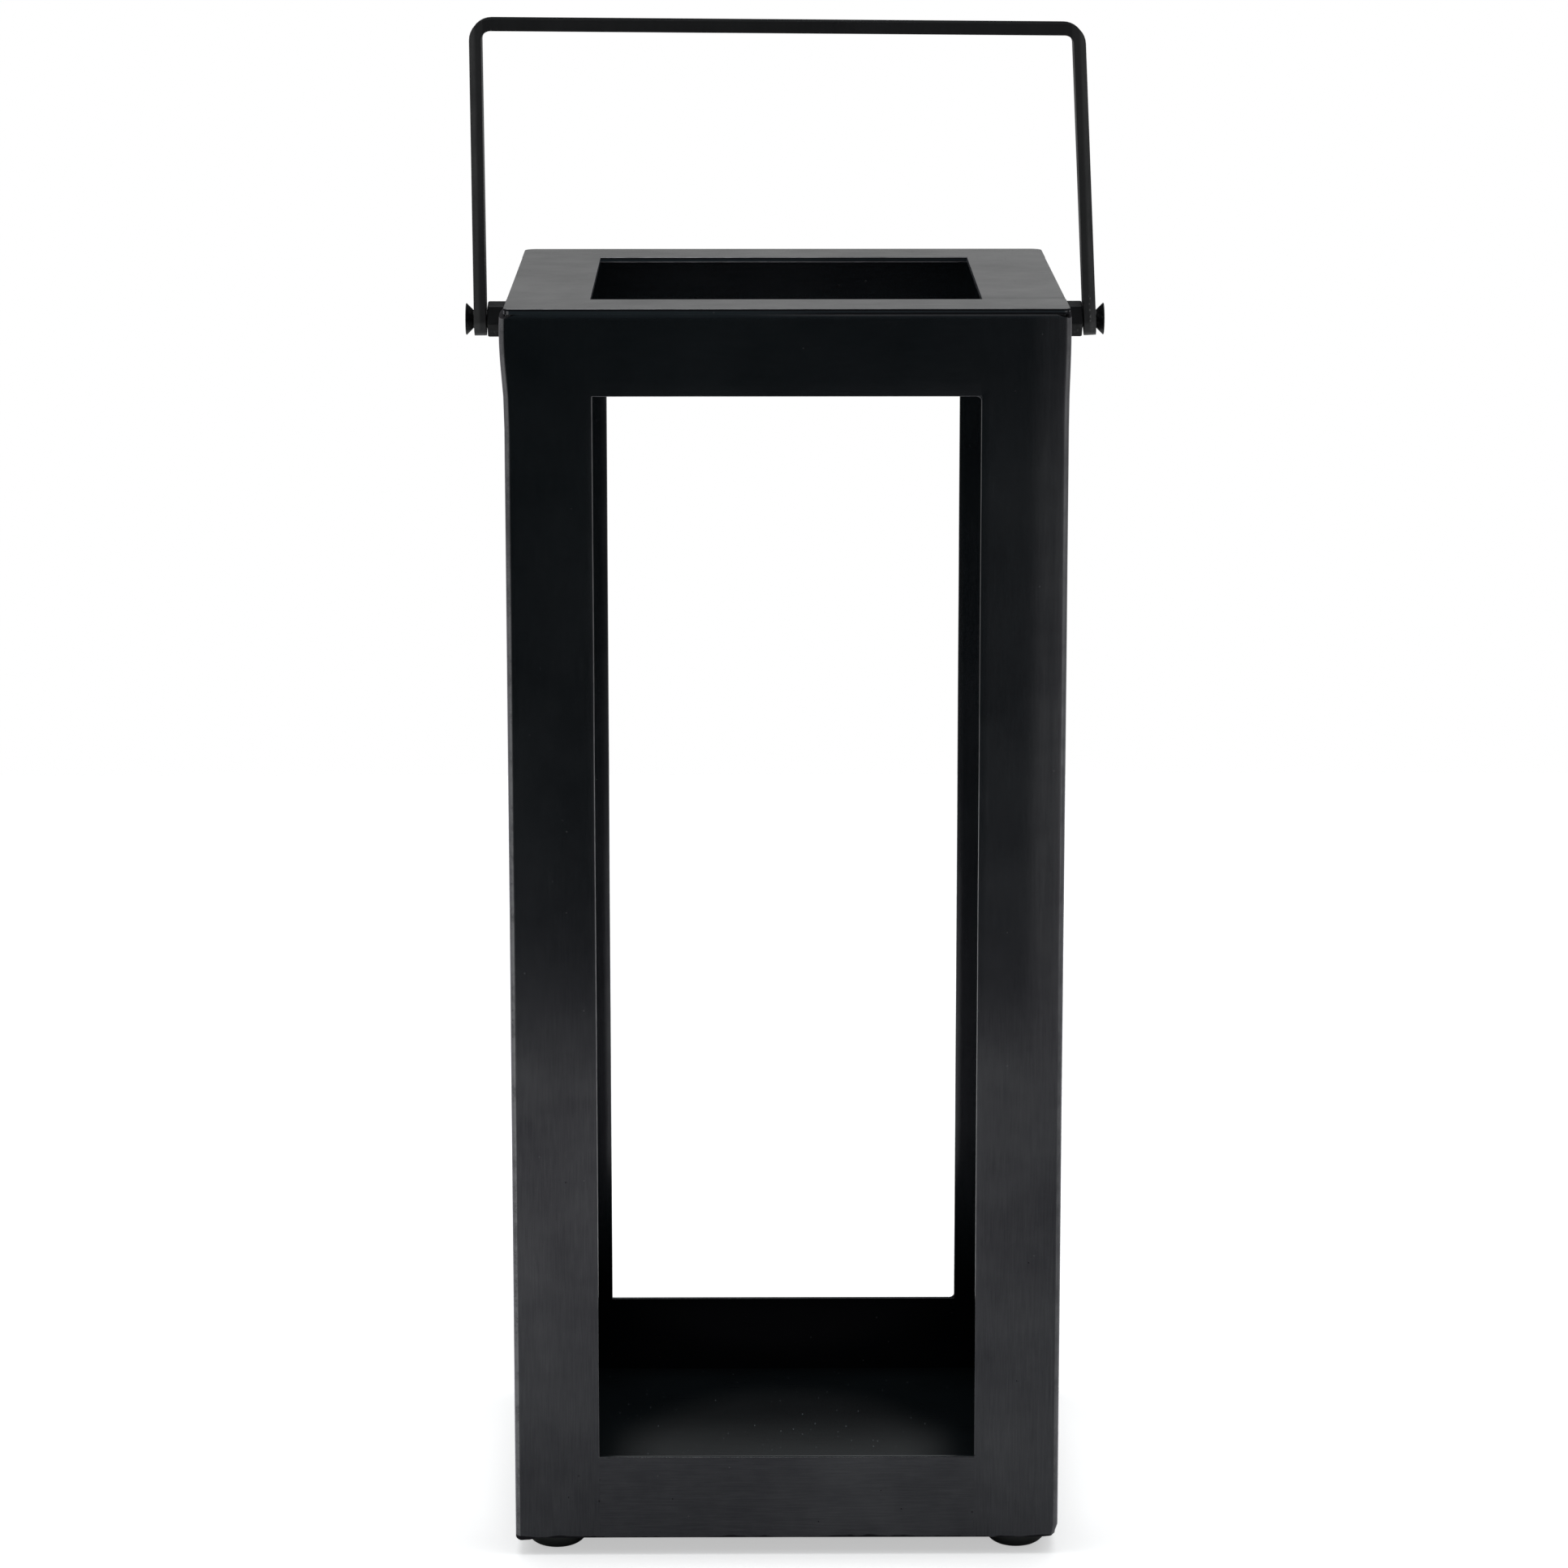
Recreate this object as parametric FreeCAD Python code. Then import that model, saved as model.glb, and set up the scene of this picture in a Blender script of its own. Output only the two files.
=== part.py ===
"""Candle lantern: a welded sheet steel frame with four open windows and a swinging handle.

Millimetres. X runs to the right, Y to the back and Z up. The origin is on the ground, under the frame's centre.
"""
import FreeCAD, Part
import math
import os

from FreeCAD import Vector

# Frame
BODY_WIDTH = 180.0
BODY_DEPTH = 180.0
BODY_HEIGHT = 409.0
SHEET = 1.8
BEND_INNER_RADIUS = 0.4
TOP_STRIP_WIDTH = 27.0
POST_LAP = 1.0
TOP_RAIL_HEIGHT = 28.0
BOTTOM_RAIL_HEIGHT = 28.0
TOP_EDGE_RADIUS = 1.2
BASE_SHEET = 1.5
BASE_CORNER_CLEARANCE = 0.3
WALL_SHARE = 0.9

# Feet
FOOT_HEIGHT = 6.0
FOOT_RADIUS = 10.5
FOOT_RIM = 1.2
FOOT_FLAT_RADIUS = 4.5
FOOT_INSET = 13.5

# Handle
BAR_THICKNESS = 4.0
BAR_WIDTH = 11.0
BAR_EDGE_RADIUS = 0.7
BEND_RADIUS = 5.0
PIVOT_DROP = 13.8
LEFT_RISE = 99.6
RIGHT_RISE = 98.0
LEFT_LEAN = 0.6
RIGHT_LEAN = -4.6

# Pivots
SPACER_LENGTH = 9.0
SPACER_FLATS = 10.6
SPACER_TURN = 11.0
SPACER_CHAMFER = 0.5
SCREW_RADIUS = 3.0
SCREW_HEAD_RADIUS = 5.25
SCREW_RIM = 0.4
SCREW_TIP_GAP = 2.0
RECESS_SPAN = 5.6
RECESS_WIDTH = 1.2
RECESS_DEPTH = 1.5
THREAD_CLEARANCE = 0.05
EYE_CLEARANCE = 0.06
SIDE_PLAY = 0.15

# Places worked out from the sizes above
HALF_WIDTH = BODY_WIDTH / 2
HALF_DEPTH = BODY_DEPTH / 2
BODY_BOTTOM = FOOT_HEIGHT
BODY_TOP = BODY_BOTTOM + BODY_HEIGHT
BEND_OUTER_RADIUS = BEND_INNER_RADIUS + SHEET
POST_LEG = TOP_STRIP_WIDTH + POST_LAP
FRAME_TOP = BODY_TOP - SHEET
PIVOT_HEIGHT = BODY_TOP - PIVOT_DROP
HALF_FLATS = SPACER_FLATS / 2
SPACER_CORNER_RADIUS = HALF_FLATS / math.cos(math.pi / 6)
STEEPEST_LEAN = max(abs(LEFT_LEAN) / LEFT_RISE, abs(RIGHT_LEAN) / RIGHT_RISE)
SPACER_END = HALF_WIDTH + SPACER_LENGTH
LEG_INNER = SPACER_END + SIDE_PLAY + SPACER_CORNER_RADIUS * STEEPEST_LEAN
LEG_CENTRE = LEG_INNER + BAR_THICKNESS / 2
LEG_OUTER = LEG_INNER + BAR_THICKNESS
EYE_RADIUS = SCREW_RADIUS + EYE_CLEARANCE
HEAD_START = LEG_OUTER + SIDE_PLAY + EYE_RADIUS * STEEPEST_LEAN
HEAD_CONE = SCREW_HEAD_RADIUS - SCREW_RADIUS
HEAD_END = HEAD_START + HEAD_CONE + SCREW_RIM
CUT_REACH = 2 * BAR_THICKNESS

X_AXIS = Vector(1, 0, 0)
Y_AXIS = Vector(0, 1, 0)
Z_AXIS = Vector(0, 0, 1)
ORIGIN = Vector(0, 0, 0)
SIDES = {"left": -1, "right": 1}
ENDS = {"front": -1, "back": 1}


def block(low, high):
    """A box between two corners."""
    span = Vector(*high) - Vector(*low)
    return Part.makeBox(span.x, span.y, span.z, Vector(*low))


def mirrored(shape, side, end):
    """The shape of the front left corner, carried to another corner of the frame."""
    if side > 0:
        shape = shape.mirror(ORIGIN, X_AXIS)
    if end > 0:
        shape = shape.mirror(ORIGIN, Y_AXIS)
    return shape


def corner_post(side, end):
    """An upright angle with a rounded bend, whose legs reach a little past the joints of the top strips."""
    left = -HALF_WIDTH
    front = -HALF_DEPTH
    outer = BEND_OUTER_RADIUS
    inner = BEND_INNER_RADIUS
    diagonal = math.sqrt(0.5)
    bend = Vector(left + outer, front + outer, 0)
    bend_mid = Vector(-diagonal, -diagonal, 0)
    points = [
        Vector(left, front + POST_LEG, 0),
        Vector(left, front + outer, 0),
        Vector(left + outer, front, 0),
        Vector(left + POST_LEG, front, 0),
        Vector(left + POST_LEG, front + SHEET, 0),
        Vector(left + outer, front + SHEET, 0),
        Vector(left + SHEET, front + outer, 0),
        Vector(left + SHEET, front + POST_LEG, 0),
    ]
    edges = [
        Part.makeLine(points[0], points[1]),
        Part.Arc(points[1], bend + bend_mid * outer, points[2]).toShape(),
        Part.makeLine(points[2], points[3]),
        Part.makeLine(points[3], points[4]),
        Part.makeLine(points[4], points[5]),
        Part.Arc(points[5], bend + bend_mid * inner, points[6]).toShape(),
        Part.makeLine(points[6], points[7]),
        Part.makeLine(points[7], points[0]),
    ]
    section = Part.Face(Part.Wire(edges))
    section.translate(Z_AXIS * BODY_BOTTOM)
    post = section.extrude(Z_AXIS * (FRAME_TOP - BODY_BOTTOM))
    return mirrored(post, side, end)


def cross_rail(end, low, high):
    """A flat strip between two posts on the front or the back."""
    reach = HALF_WIDTH - POST_LEG
    rail = block((-reach, -HALF_DEPTH, low), (reach, -HALF_DEPTH + SHEET, high))
    return mirrored(rail, -1, end)


def side_rail(side, low, high):
    """A flat strip between two posts on the left or the right."""
    reach = HALF_DEPTH - POST_LEG
    rail = block((-HALF_WIDTH, -reach, low), (-HALF_WIDTH + SHEET, reach, high))
    return mirrored(rail, side, -1)


def upper_outer_edges(plate):
    """The edges round the top of a plate's outside."""
    return [edge for edge in plate.Edges if edge.BoundBox.ZMin > BODY_TOP - SHEET / 2]


def top_plate():
    """The whole top before its opening is cut: corners like the posts, upper edge rounded."""
    plate = block((-HALF_WIDTH, -HALF_DEPTH, FRAME_TOP), (HALF_WIDTH, HALF_DEPTH, BODY_TOP))
    uprights = [edge for edge in plate.Edges if edge.BoundBox.ZLength > SHEET / 2]
    plate = plate.makeFillet(BEND_OUTER_RADIUS, uprights)
    return plate.makeFillet(min(TOP_EDGE_RADIUS, WALL_SHARE * SHEET), upper_outer_edges(plate))


def top_strips():
    """The four strips round the top opening: front and back run the full width."""
    plate = top_plate()
    inner_width = HALF_WIDTH - TOP_STRIP_WIDTH
    inner_depth = HALF_DEPTH - TOP_STRIP_WIDTH
    strips = {}
    for name, end in ENDS.items():
        cutter = block((-HALF_WIDTH, -HALF_DEPTH, FRAME_TOP), (HALF_WIDTH, -inner_depth, BODY_TOP))
        strips[f"{name}_top_strip"] = plate.common(mirrored(cutter, -1, end))
    for name, side in SIDES.items():
        cutter = block((-HALF_WIDTH, -inner_depth, FRAME_TOP), (-inner_width, inner_depth, BODY_TOP))
        strips[f"{name}_top_strip"] = plate.common(mirrored(cutter, side, -1))
    return strips


def base_plate():
    """The floor inside the foot of the frame, with corners that clear the bends."""
    reach_x = HALF_WIDTH - SHEET
    reach_y = HALF_DEPTH - SHEET
    plate = block((-reach_x, -reach_y, BODY_BOTTOM), (reach_x, reach_y, BODY_BOTTOM + BASE_SHEET))
    uprights = [edge for edge in plate.Edges if edge.BoundBox.ZLength > BASE_SHEET / 2]
    return plate.makeFillet(BEND_INNER_RADIUS + BASE_CORNER_CLEARANCE, uprights)


def foot(side, end):
    """A domed rubber foot with a short rim, on an arc that leaves its small standing flat smoothly."""
    rim = FOOT_HEIGHT - FOOT_RIM
    reach = FOOT_RADIUS - FOOT_FLAT_RADIUS
    dome_radius = (reach**2 + rim**2) / (2 * rim)
    half_turn = math.atan2(reach, dome_radius - rim) / 2
    dome_mid = Vector(
        FOOT_FLAT_RADIUS + dome_radius * math.sin(half_turn), 0, dome_radius * (1 - math.cos(half_turn))
    )
    corners = [
        Vector(0, 0, 0),
        Vector(FOOT_FLAT_RADIUS, 0, 0),
        Vector(FOOT_RADIUS, 0, rim),
        Vector(FOOT_RADIUS, 0, FOOT_HEIGHT),
        Vector(0, 0, FOOT_HEIGHT),
    ]
    edges = [
        Part.makeLine(corners[0], corners[1]),
        Part.Arc(corners[1], dome_mid, corners[2]).toShape(),
        Part.makeLine(corners[2], corners[3]),
        Part.makeLine(corners[3], corners[4]),
        Part.makeLine(corners[4], corners[0]),
    ]
    shape = Part.Face(Part.Wire(edges)).revolve(ORIGIN, Z_AXIS, 360)
    shape.translate(Vector(side * (HALF_WIDTH - FOOT_INSET), end * (HALF_DEPTH - FOOT_INSET), 0))
    return shape


def rounded_path(points, radius):
    """A wire through the points with a tangent arc at each inner one."""
    edges = []
    start = points[0]
    for before, corner, after in zip(points, points[1:], points[2:]):
        back = (before - corner).normalize()
        ahead = (after - corner).normalize()
        half_turn = (math.pi - back.getAngle(ahead)) / 2
        setback = radius * math.tan(half_turn)
        middle = (back + ahead).normalize()
        arc_start = corner + back * setback
        arc_end = corner + ahead * setback
        arc_mid = corner + middle * (radius / math.cos(half_turn) - radius)
        edges.append(Part.makeLine(start, arc_start))
        edges.append(Part.Arc(arc_start, arc_mid, arc_end).toShape())
        start = arc_end
    edges.append(Part.makeLine(start, points[-1]))
    return Part.Wire(edges)


def bar_section(centre, along):
    """The bar's rounded oblong section, square to its length."""
    across = Y_AXIS.cross(along)
    half_thick = BAR_THICKNESS / 2
    half_wide = BAR_WIDTH / 2
    edge_radius = min(BAR_EDGE_RADIUS, WALL_SHARE * half_thick)
    signs = [(-1, -1), (1, -1), (1, 1), (-1, 1)]
    corners = [centre + across * (u * half_thick) + Y_AXIS * (v * half_wide) for u, v in signs]
    sharp = Part.makePolygon(corners + corners[:1])
    inside = Part.Face(sharp).makeOffset2D(-edge_radius)
    return inside.makeOffset2D(edge_radius).OuterWire


def carry_handle():
    """A flat bar bent twice, with round ends and an eye for the screw in each leg."""
    end_radius = BAR_WIDTH / 2
    bottom = PIVOT_HEIGHT - end_radius
    left_top = Vector(-LEG_CENTRE - LEFT_LEAN, 0, PIVOT_HEIGHT + LEFT_RISE - BAR_THICKNESS / 2)
    right_top = Vector(LEG_CENTRE + RIGHT_LEAN, 0, PIVOT_HEIGHT + RIGHT_RISE - BAR_THICKNESS / 2)
    left_end = leg_point(left_top, -LEG_CENTRE, bottom)
    right_end = leg_point(right_top, LEG_CENTRE, bottom)
    path = rounded_path([left_end, left_top, right_top, right_end], BEND_RADIUS)
    along = (left_top - left_end).normalize()
    handle = path.makePipeShell([bar_section(left_end, along)], True, False)
    for side in SIDES.values():
        handle = handle.cut(end_waste(side, end_radius))
        eye_start = Vector(side * LEG_CENTRE - CUT_REACH, 0, PIVOT_HEIGHT)
        eye = Part.makeCylinder(EYE_RADIUS, 2 * CUT_REACH, eye_start, X_AXIS)
        handle = handle.cut(eye)
    return handle


def leg_point(top, pivot_x, height):
    """The point at a height on the line from a leg's top through its pivot."""
    pivot = Vector(pivot_x, 0, PIVOT_HEIGHT)
    slope = (top - pivot) * (1 / (top.z - pivot.z))
    return pivot + slope * (height - PIVOT_HEIGHT)


def end_waste(side, end_radius):
    """What is cut away below the pivot to leave a round end."""
    start = side * LEG_CENTRE - CUT_REACH
    depth = 2 * end_radius
    square = block(
        (start, -depth, PIVOT_HEIGHT - depth),
        (start + 2 * CUT_REACH, depth, PIVOT_HEIGHT),
    )
    rounded = Part.makeCylinder(end_radius, 2 * CUT_REACH, Vector(start, 0, PIVOT_HEIGHT), X_AXIS)
    return square.cut(rounded)


def hex_spacer(side):
    """A hexagonal spacer welded to the side rail, drilled through for the screw."""
    turn = math.radians(180 + SPACER_TURN)
    corners = []
    for step in range(6):
        angle = turn + step * math.pi / 3
        y = SPACER_CORNER_RADIUS * math.cos(angle)
        z = SPACER_CORNER_RADIUS * math.sin(angle)
        corners.append(Vector(HALF_WIDTH, y, PIVOT_HEIGHT + z))
    section = Part.Face(Part.makePolygon(corners + corners[:1]))
    prism = section.extrude(X_AXIS * SPACER_LENGTH)
    centre = Vector(HALF_WIDTH, 0, PIVOT_HEIGHT)
    body = SPACER_LENGTH - SPACER_CHAMFER
    barrel = Part.makeCylinder(SPACER_CORNER_RADIUS, body, centre, X_AXIS)
    nose = Part.makeCone(
        SPACER_CORNER_RADIUS, HALF_FLATS - SPACER_CHAMFER / 2, SPACER_CHAMFER, centre + X_AXIS * body, X_AXIS
    )
    bore = Part.makeCylinder(SCREW_RADIUS + THREAD_CLEARANCE, SPACER_LENGTH, centre, X_AXIS)
    spacer = prism.common(barrel.fuse(nose)).cut(bore).removeSplitter()
    return mirrored(spacer, -side, -1)


def pivot_screw(side):
    """A countersunk screw whose head holds the leg and whose shank it turns on."""
    tip = HALF_WIDTH + SCREW_TIP_GAP
    shank = Part.makeCylinder(SCREW_RADIUS, HEAD_START - tip, Vector(tip, 0, PIVOT_HEIGHT), X_AXIS)
    cone = Part.makeCone(
        SCREW_RADIUS, SCREW_HEAD_RADIUS, HEAD_CONE, Vector(HEAD_START, 0, PIVOT_HEIGHT), X_AXIS
    )
    rim_start = Vector(HEAD_START + HEAD_CONE, 0, PIVOT_HEIGHT)
    rim = Part.makeCylinder(SCREW_HEAD_RADIUS, SCREW_RIM, rim_start, X_AXIS)
    screw = shank.fuse([cone, rim]).removeSplitter()
    half_span = RECESS_SPAN / 2
    half_slot = RECESS_WIDTH / 2
    floor = HEAD_END - RECESS_DEPTH
    for half_y, half_z in ((half_span, half_slot), (half_slot, half_span)):
        slot = block(
            (floor, -half_y, PIVOT_HEIGHT - half_z),
            (HEAD_END, half_y, PIVOT_HEIGHT + half_z),
        )
        screw = screw.cut(slot)
    return mirrored(screw, -side, -1)


def build():
    """All pieces by node name."""
    pieces = {}
    sill = BODY_BOTTOM + BOTTOM_RAIL_HEIGHT
    lintel = BODY_TOP - TOP_RAIL_HEIGHT
    for end_name, end in ENDS.items():
        for side_name, side in SIDES.items():
            pieces[f"{end_name}_{side_name}_post"] = corner_post(side, end)
            pieces[f"{end_name}_{side_name}_foot"] = foot(side, end)
        pieces[f"{end_name}_bottom_rail"] = cross_rail(end, BODY_BOTTOM, sill)
        pieces[f"{end_name}_top_rail"] = cross_rail(end, lintel, FRAME_TOP)
    for side_name, side in SIDES.items():
        pieces[f"{side_name}_bottom_rail"] = side_rail(side, BODY_BOTTOM, sill)
        pieces[f"{side_name}_top_rail"] = side_rail(side, lintel, FRAME_TOP)
        pieces[f"{side_name}_hex_spacer"] = hex_spacer(side)
        pieces[f"{side_name}_pivot_screw"] = pivot_screw(side)
    pieces.update(top_strips())
    pieces["base_plate"] = base_plate()
    pieces["carry_handle"] = carry_handle()
    return pieces


def main():
    """Writes one STEP file for each piece."""
    os.makedirs("parts", exist_ok=True)
    for name, shape in build().items():
        solids = shape.Solids
        if len(solids) == 1:
            shape = solids[0]
        shape.exportStep(f"parts/{name}.step")
        print(f"{name}: {len(solids)} solid, valid {shape.isValid()}, {shape.Volume:.1f} mm3")


main()
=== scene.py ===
"""Looks of the candle lantern: a brushed black sheet steel frame, a flat bar handle and rubber feet.

Metres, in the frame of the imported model: X to the right, Y to the back, Z up, the origin on the ground.
"""
import logging
import math
from collections.abc import Callable, Iterable, Sequence
from dataclasses import dataclass, field
from enum import Enum, StrEnum
from functools import cached_property
from typing import ClassVar

import bpy
from mathutils import Matrix, Vector


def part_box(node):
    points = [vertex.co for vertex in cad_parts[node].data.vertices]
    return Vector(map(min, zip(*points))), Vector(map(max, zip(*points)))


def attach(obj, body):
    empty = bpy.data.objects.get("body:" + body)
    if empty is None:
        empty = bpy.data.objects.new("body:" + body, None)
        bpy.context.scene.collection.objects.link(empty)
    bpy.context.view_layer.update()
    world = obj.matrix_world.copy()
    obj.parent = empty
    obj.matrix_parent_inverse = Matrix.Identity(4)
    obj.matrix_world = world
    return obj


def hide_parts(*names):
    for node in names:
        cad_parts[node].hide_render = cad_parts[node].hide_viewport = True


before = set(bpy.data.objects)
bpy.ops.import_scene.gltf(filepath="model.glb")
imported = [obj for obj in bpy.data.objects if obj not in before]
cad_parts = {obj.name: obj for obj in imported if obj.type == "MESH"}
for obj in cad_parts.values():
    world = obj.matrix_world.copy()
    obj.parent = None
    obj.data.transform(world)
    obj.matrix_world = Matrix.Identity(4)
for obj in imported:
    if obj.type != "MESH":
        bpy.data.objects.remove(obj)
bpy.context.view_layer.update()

LOG = logging.getLogger("lantern")
MM = 0.001
NEAR = 0.01 * MM
FRAME_BODY = "frame"
HANDLE_BODY = "handle"

Triple = tuple[float, float, float]
Colour = Triple
Step = tuple[float, float]
Test = Callable[[Vector, Vector], bool]

WHITE: Colour = (1.0, 1.0, 1.0)


class Axis(Enum):
    """One of the three directions of the frame, by its place in a vector."""

    X = 0
    Y = 1
    Z = 2

    @property
    def vector(self) -> Vector:
        """The unit vector along this axis."""
        return Vector([float(i == self.value) for i in range(3)])


class Slot(Enum):
    """The record's material slots."""

    FRAME = "frame_steel"
    FLOOR = "floor_steel"
    HANDLE = "handle_steel"
    PIVOT = "pivot_steel"
    FOOT = "foot_rubber"


class Side(StrEnum):
    """The frame's two sides, as the nodes are named."""

    LEFT = "left"
    RIGHT = "right"


class End(StrEnum):
    """The frame's front and back, as the nodes are named."""

    FRONT = "front"
    BACK = "back"


class Level(StrEnum):
    """The rails' two heights, as the nodes are named."""

    BOTTOM = "bottom"
    TOP = "top"


class Value:
    """A number in a shader that can be used in Python expressions."""

    def __init__(self, graph: "Graph", socket: bpy.types.NodeSocket | None) -> None:
        """Wraps one output socket of a graph."""
        self.graph = graph
        self.socket = socket

    def maths(self, operation: str, first: "Value | float", second: "Value | float" = 0.0) -> "Value":
        """The result of one Math node on one or two values."""
        return self.graph.node("ShaderNodeMath", {"operation": operation}, {0: first, 1: second})

    def __add__(self, other: "Value | float") -> "Value":
        """self + other."""
        return self.maths("ADD", self, other)

    def __radd__(self, other: float) -> "Value":
        """other + self."""
        return self.maths("ADD", other, self)

    def __sub__(self, other: "Value | float") -> "Value":
        """self - other."""
        return self.maths("SUBTRACT", self, other)

    def __rsub__(self, other: float) -> "Value":
        """other - self."""
        return self.maths("SUBTRACT", other, self)

    def __mul__(self, other: "Value | float") -> "Value":
        """self * other."""
        return self.maths("MULTIPLY", self, other)

    def __rmul__(self, other: float) -> "Value":
        """other * self."""
        return self.maths("MULTIPLY", other, self)

    def __abs__(self) -> "Value":
        """The size without its sign."""
        return self.maths("ABSOLUTE", self)

    def highest(self, other: "Value | float") -> "Value":
        """The larger of two values."""
        return self.maths("MAXIMUM", self, other)

    def lowest(self, other: "Value | float") -> "Value":
        """The smaller of two values."""
        return self.maths("MINIMUM", self, other)

    def ease(self, start: float, end: float) -> "Value":
        """A soft step from 0 to 1 as the value goes from start to end, which may lie either way round.

        Args:
            start: Where the step leaves 0.
            end: Where it reaches 1.

        Returns:
            The step.
        """
        settings = {"interpolation_type": "SMOOTHSTEP", "clamp": True}
        low, high, at_low, at_high = (start, end, 0.0, 1.0) if start < end else (end, start, 1.0, 0.0)
        inputs = {"Value": self, "From Min": low, "From Max": high, "To Min": at_low, "To Max": at_high}
        return self.graph.node("ShaderNodeMapRange", settings, inputs)


@dataclass(frozen=True)
class Dots:
    """Sparse round dots, each in a cell of its own.

    Attributes:
        per_metre: Cells per metre.
        radius: A dot's radius as a share of its cell.
        share: How many of the cells have a dot.
        deep: How much longer a dot is along Y than across.
        core: The share of the radius that is solid.
        lot: How sharply the cells are chosen.
    """

    per_metre: float
    radius: float
    share: float
    deep: float = 1.0
    core: float = 0.5
    lot: float = 0.01


class Graph:
    """The node tree of one material or of the world."""

    def __init__(self, owner: bpy.types.Material | bpy.types.World) -> None:
        """Empties the owner's node tree and starts on it.

        Args:
            owner: What the nodes shade.
        """
        self.owner = owner
        owner.use_nodes = True
        self.tree = owner.node_tree
        self.tree.nodes.clear()

    @classmethod
    def named(cls, name: str) -> "Graph":
        """Starts a new material."""
        return cls(bpy.data.materials.new(name))

    @cached_property
    def place(self) -> Value:
        """Where a point lies in its object."""
        return self.node("ShaderNodeTexCoord", output="Object")

    @cached_property
    def facing(self) -> Value:
        """Which way the surface faces in its object."""
        return self.node("ShaderNodeTexCoord", output="Normal")

    @property
    def shown(self) -> Value:
        """1 for what the camera sees, straight or through something clear."""
        return self.ray("Camera").highest(self.ray("Transmission"))

    def ray(self, kind: str) -> Value:
        """1 for rays of one kind."""
        return self.node("ShaderNodeLightPath", output=f"Is {kind} Ray")

    def node(
        self,
        kind: str,
        settings: dict[str, object] | None = None,
        inputs: dict[str | int, object] | None = None,
        output: str | int = 0,
    ) -> Value:
        """Adds a node, sets it up and fills its sockets.

        Args:
            kind: The node's type.
            settings: Its properties, set first.
            inputs: A number, colour or Value for each socket.
            output: The output that is handed back.

        Returns:
            The chosen output, if the node has one.
        """
        made = self.tree.nodes.new(kind)
        for name, value in (settings or {}).items():
            setattr(made, name, value)
        for name, value in (inputs or {}).items():
            if isinstance(value, Value):
                self.tree.links.new(value.socket, made.inputs[name])
            else:
                made.inputs[name].default_value = value
        return Value(self, made.outputs[output] if made.outputs else None)

    def part(self, vector: Value, axis: Axis) -> Value:
        """One component of a vector."""
        return self.node("ShaderNodeSeparateXYZ", inputs={0: vector}, output=axis.value)

    def at(self, axis: Axis) -> Value:
        """How far along an axis a point lies."""
        return self.part(self.place, axis)

    def faces(self, axis: Axis) -> Value:
        """How much the surface faces along an axis."""
        return self.part(self.facing, axis)

    def stretched(self, per_metre: Sequence[float]) -> Value:
        """Object coordinates scaled by a number of features per metre on each axis."""
        inputs = {"Vector": self.place, "Scale": tuple(per_metre)}
        return self.node("ShaderNodeMapping", {"vector_type": "POINT"}, inputs)

    def noise(self, per_metre: float | Sequence[float], detail: float = 2.0, rough: float = 0.5) -> Value:
        """Soft noise from 0 to 1.

        Args:
            per_metre: Features per metre, as one number or one for each axis.
            detail: How many finer layers are added.
            rough: How strong those layers are.

        Returns:
            The noise.
        """
        even = isinstance(per_metre, float)
        vector, scale = (self.place, per_metre) if even else (self.stretched(per_metre), 1.0)
        inputs = {"Vector": vector, "Scale": scale, "Detail": detail, "Roughness": rough}
        return self.node("ShaderNodeTexNoise", {"noise_dimensions": "3D"}, inputs)

    def dots(self, kind: Dots) -> Value:
        """Sparse round dots.

        Args:
            kind: Their size and number.

        Returns:
            1 on the dots and 0 elsewhere.
        """
        inputs = {"Vector": self.stretched((1.0, 1.0 / kind.deep, 1.0)), "Scale": kind.per_metre}
        settings = {"feature": "F1", "voronoi_dimensions": "3D"}
        reach = self.node("ShaderNodeTexVoronoi", settings, inputs, "Distance")
        lot = self.node("ShaderNodeTexVoronoi", settings, inputs, "Color")
        chosen = self.part(lot, Axis.X).ease(kind.share, kind.share - kind.lot)
        return reach.ease(kind.radius, kind.radius * kind.core) * chosen

    def mix(self, share: Value | float, first: object, second: object) -> Value:
        """A blend of two colours.

        Args:
            share: 0 for the first, 1 for the second.
            first: A colour or its Value.
            second: A colour or its Value.

        Returns:
            The blended colour.
        """
        settings = {"data_type": "RGBA", "clamp_factor": True}
        inputs = {0: share, 6: self.opaque(first), 7: self.opaque(second)}
        return self.node("ShaderNodeMix", settings, inputs, 2)

    def scaled(self, colour: Colour, factor: Value) -> Value:
        """A colour made lighter or darker by a factor."""
        return self.node("ShaderNodeVectorMath", {"operation": "SCALE"}, {0: colour, "Scale": factor})

    @staticmethod
    def opaque(colour: object) -> object:
        """A plain colour with its alpha, or a Value as it is."""
        return colour if isinstance(colour, Value) else (*colour, 1.0)

    def bump(self, height: Value, depth: float) -> Value:
        """A normal bumped by a height, where 1 stands for a depth in metres."""
        return self.node("ShaderNodeBump", inputs={"Height": height, "Distance": depth, "Strength": 1.0})

    def turned_edges(self, start: float, end: float) -> Value:
        """1 where the surface turns away from all three axes, as bends and broken edges do."""
        sizes = [abs(self.faces(axis)) for axis in Axis]
        return (1.0 - sizes[0].highest(sizes[1]).highest(sizes[2])).ease(start, end)

    def finish(self, settings: dict[str | int, object]) -> bpy.types.Material:
        """Closes the material with one surface shader of these settings."""
        return self.close(self.node("ShaderNodeBsdfPrincipled", inputs=settings))

    def close(self, surface: Value) -> bpy.types.Material | bpy.types.World:
        """Links a shader to the output.

        Args:
            surface: The shader.

        Returns:
            What it shades.
        """
        kind = "World" if isinstance(self.owner, bpy.types.World) else "Material"
        self.node(f"ShaderNodeOutput{kind}", inputs={"Surface": surface})
        return self.owner


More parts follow.
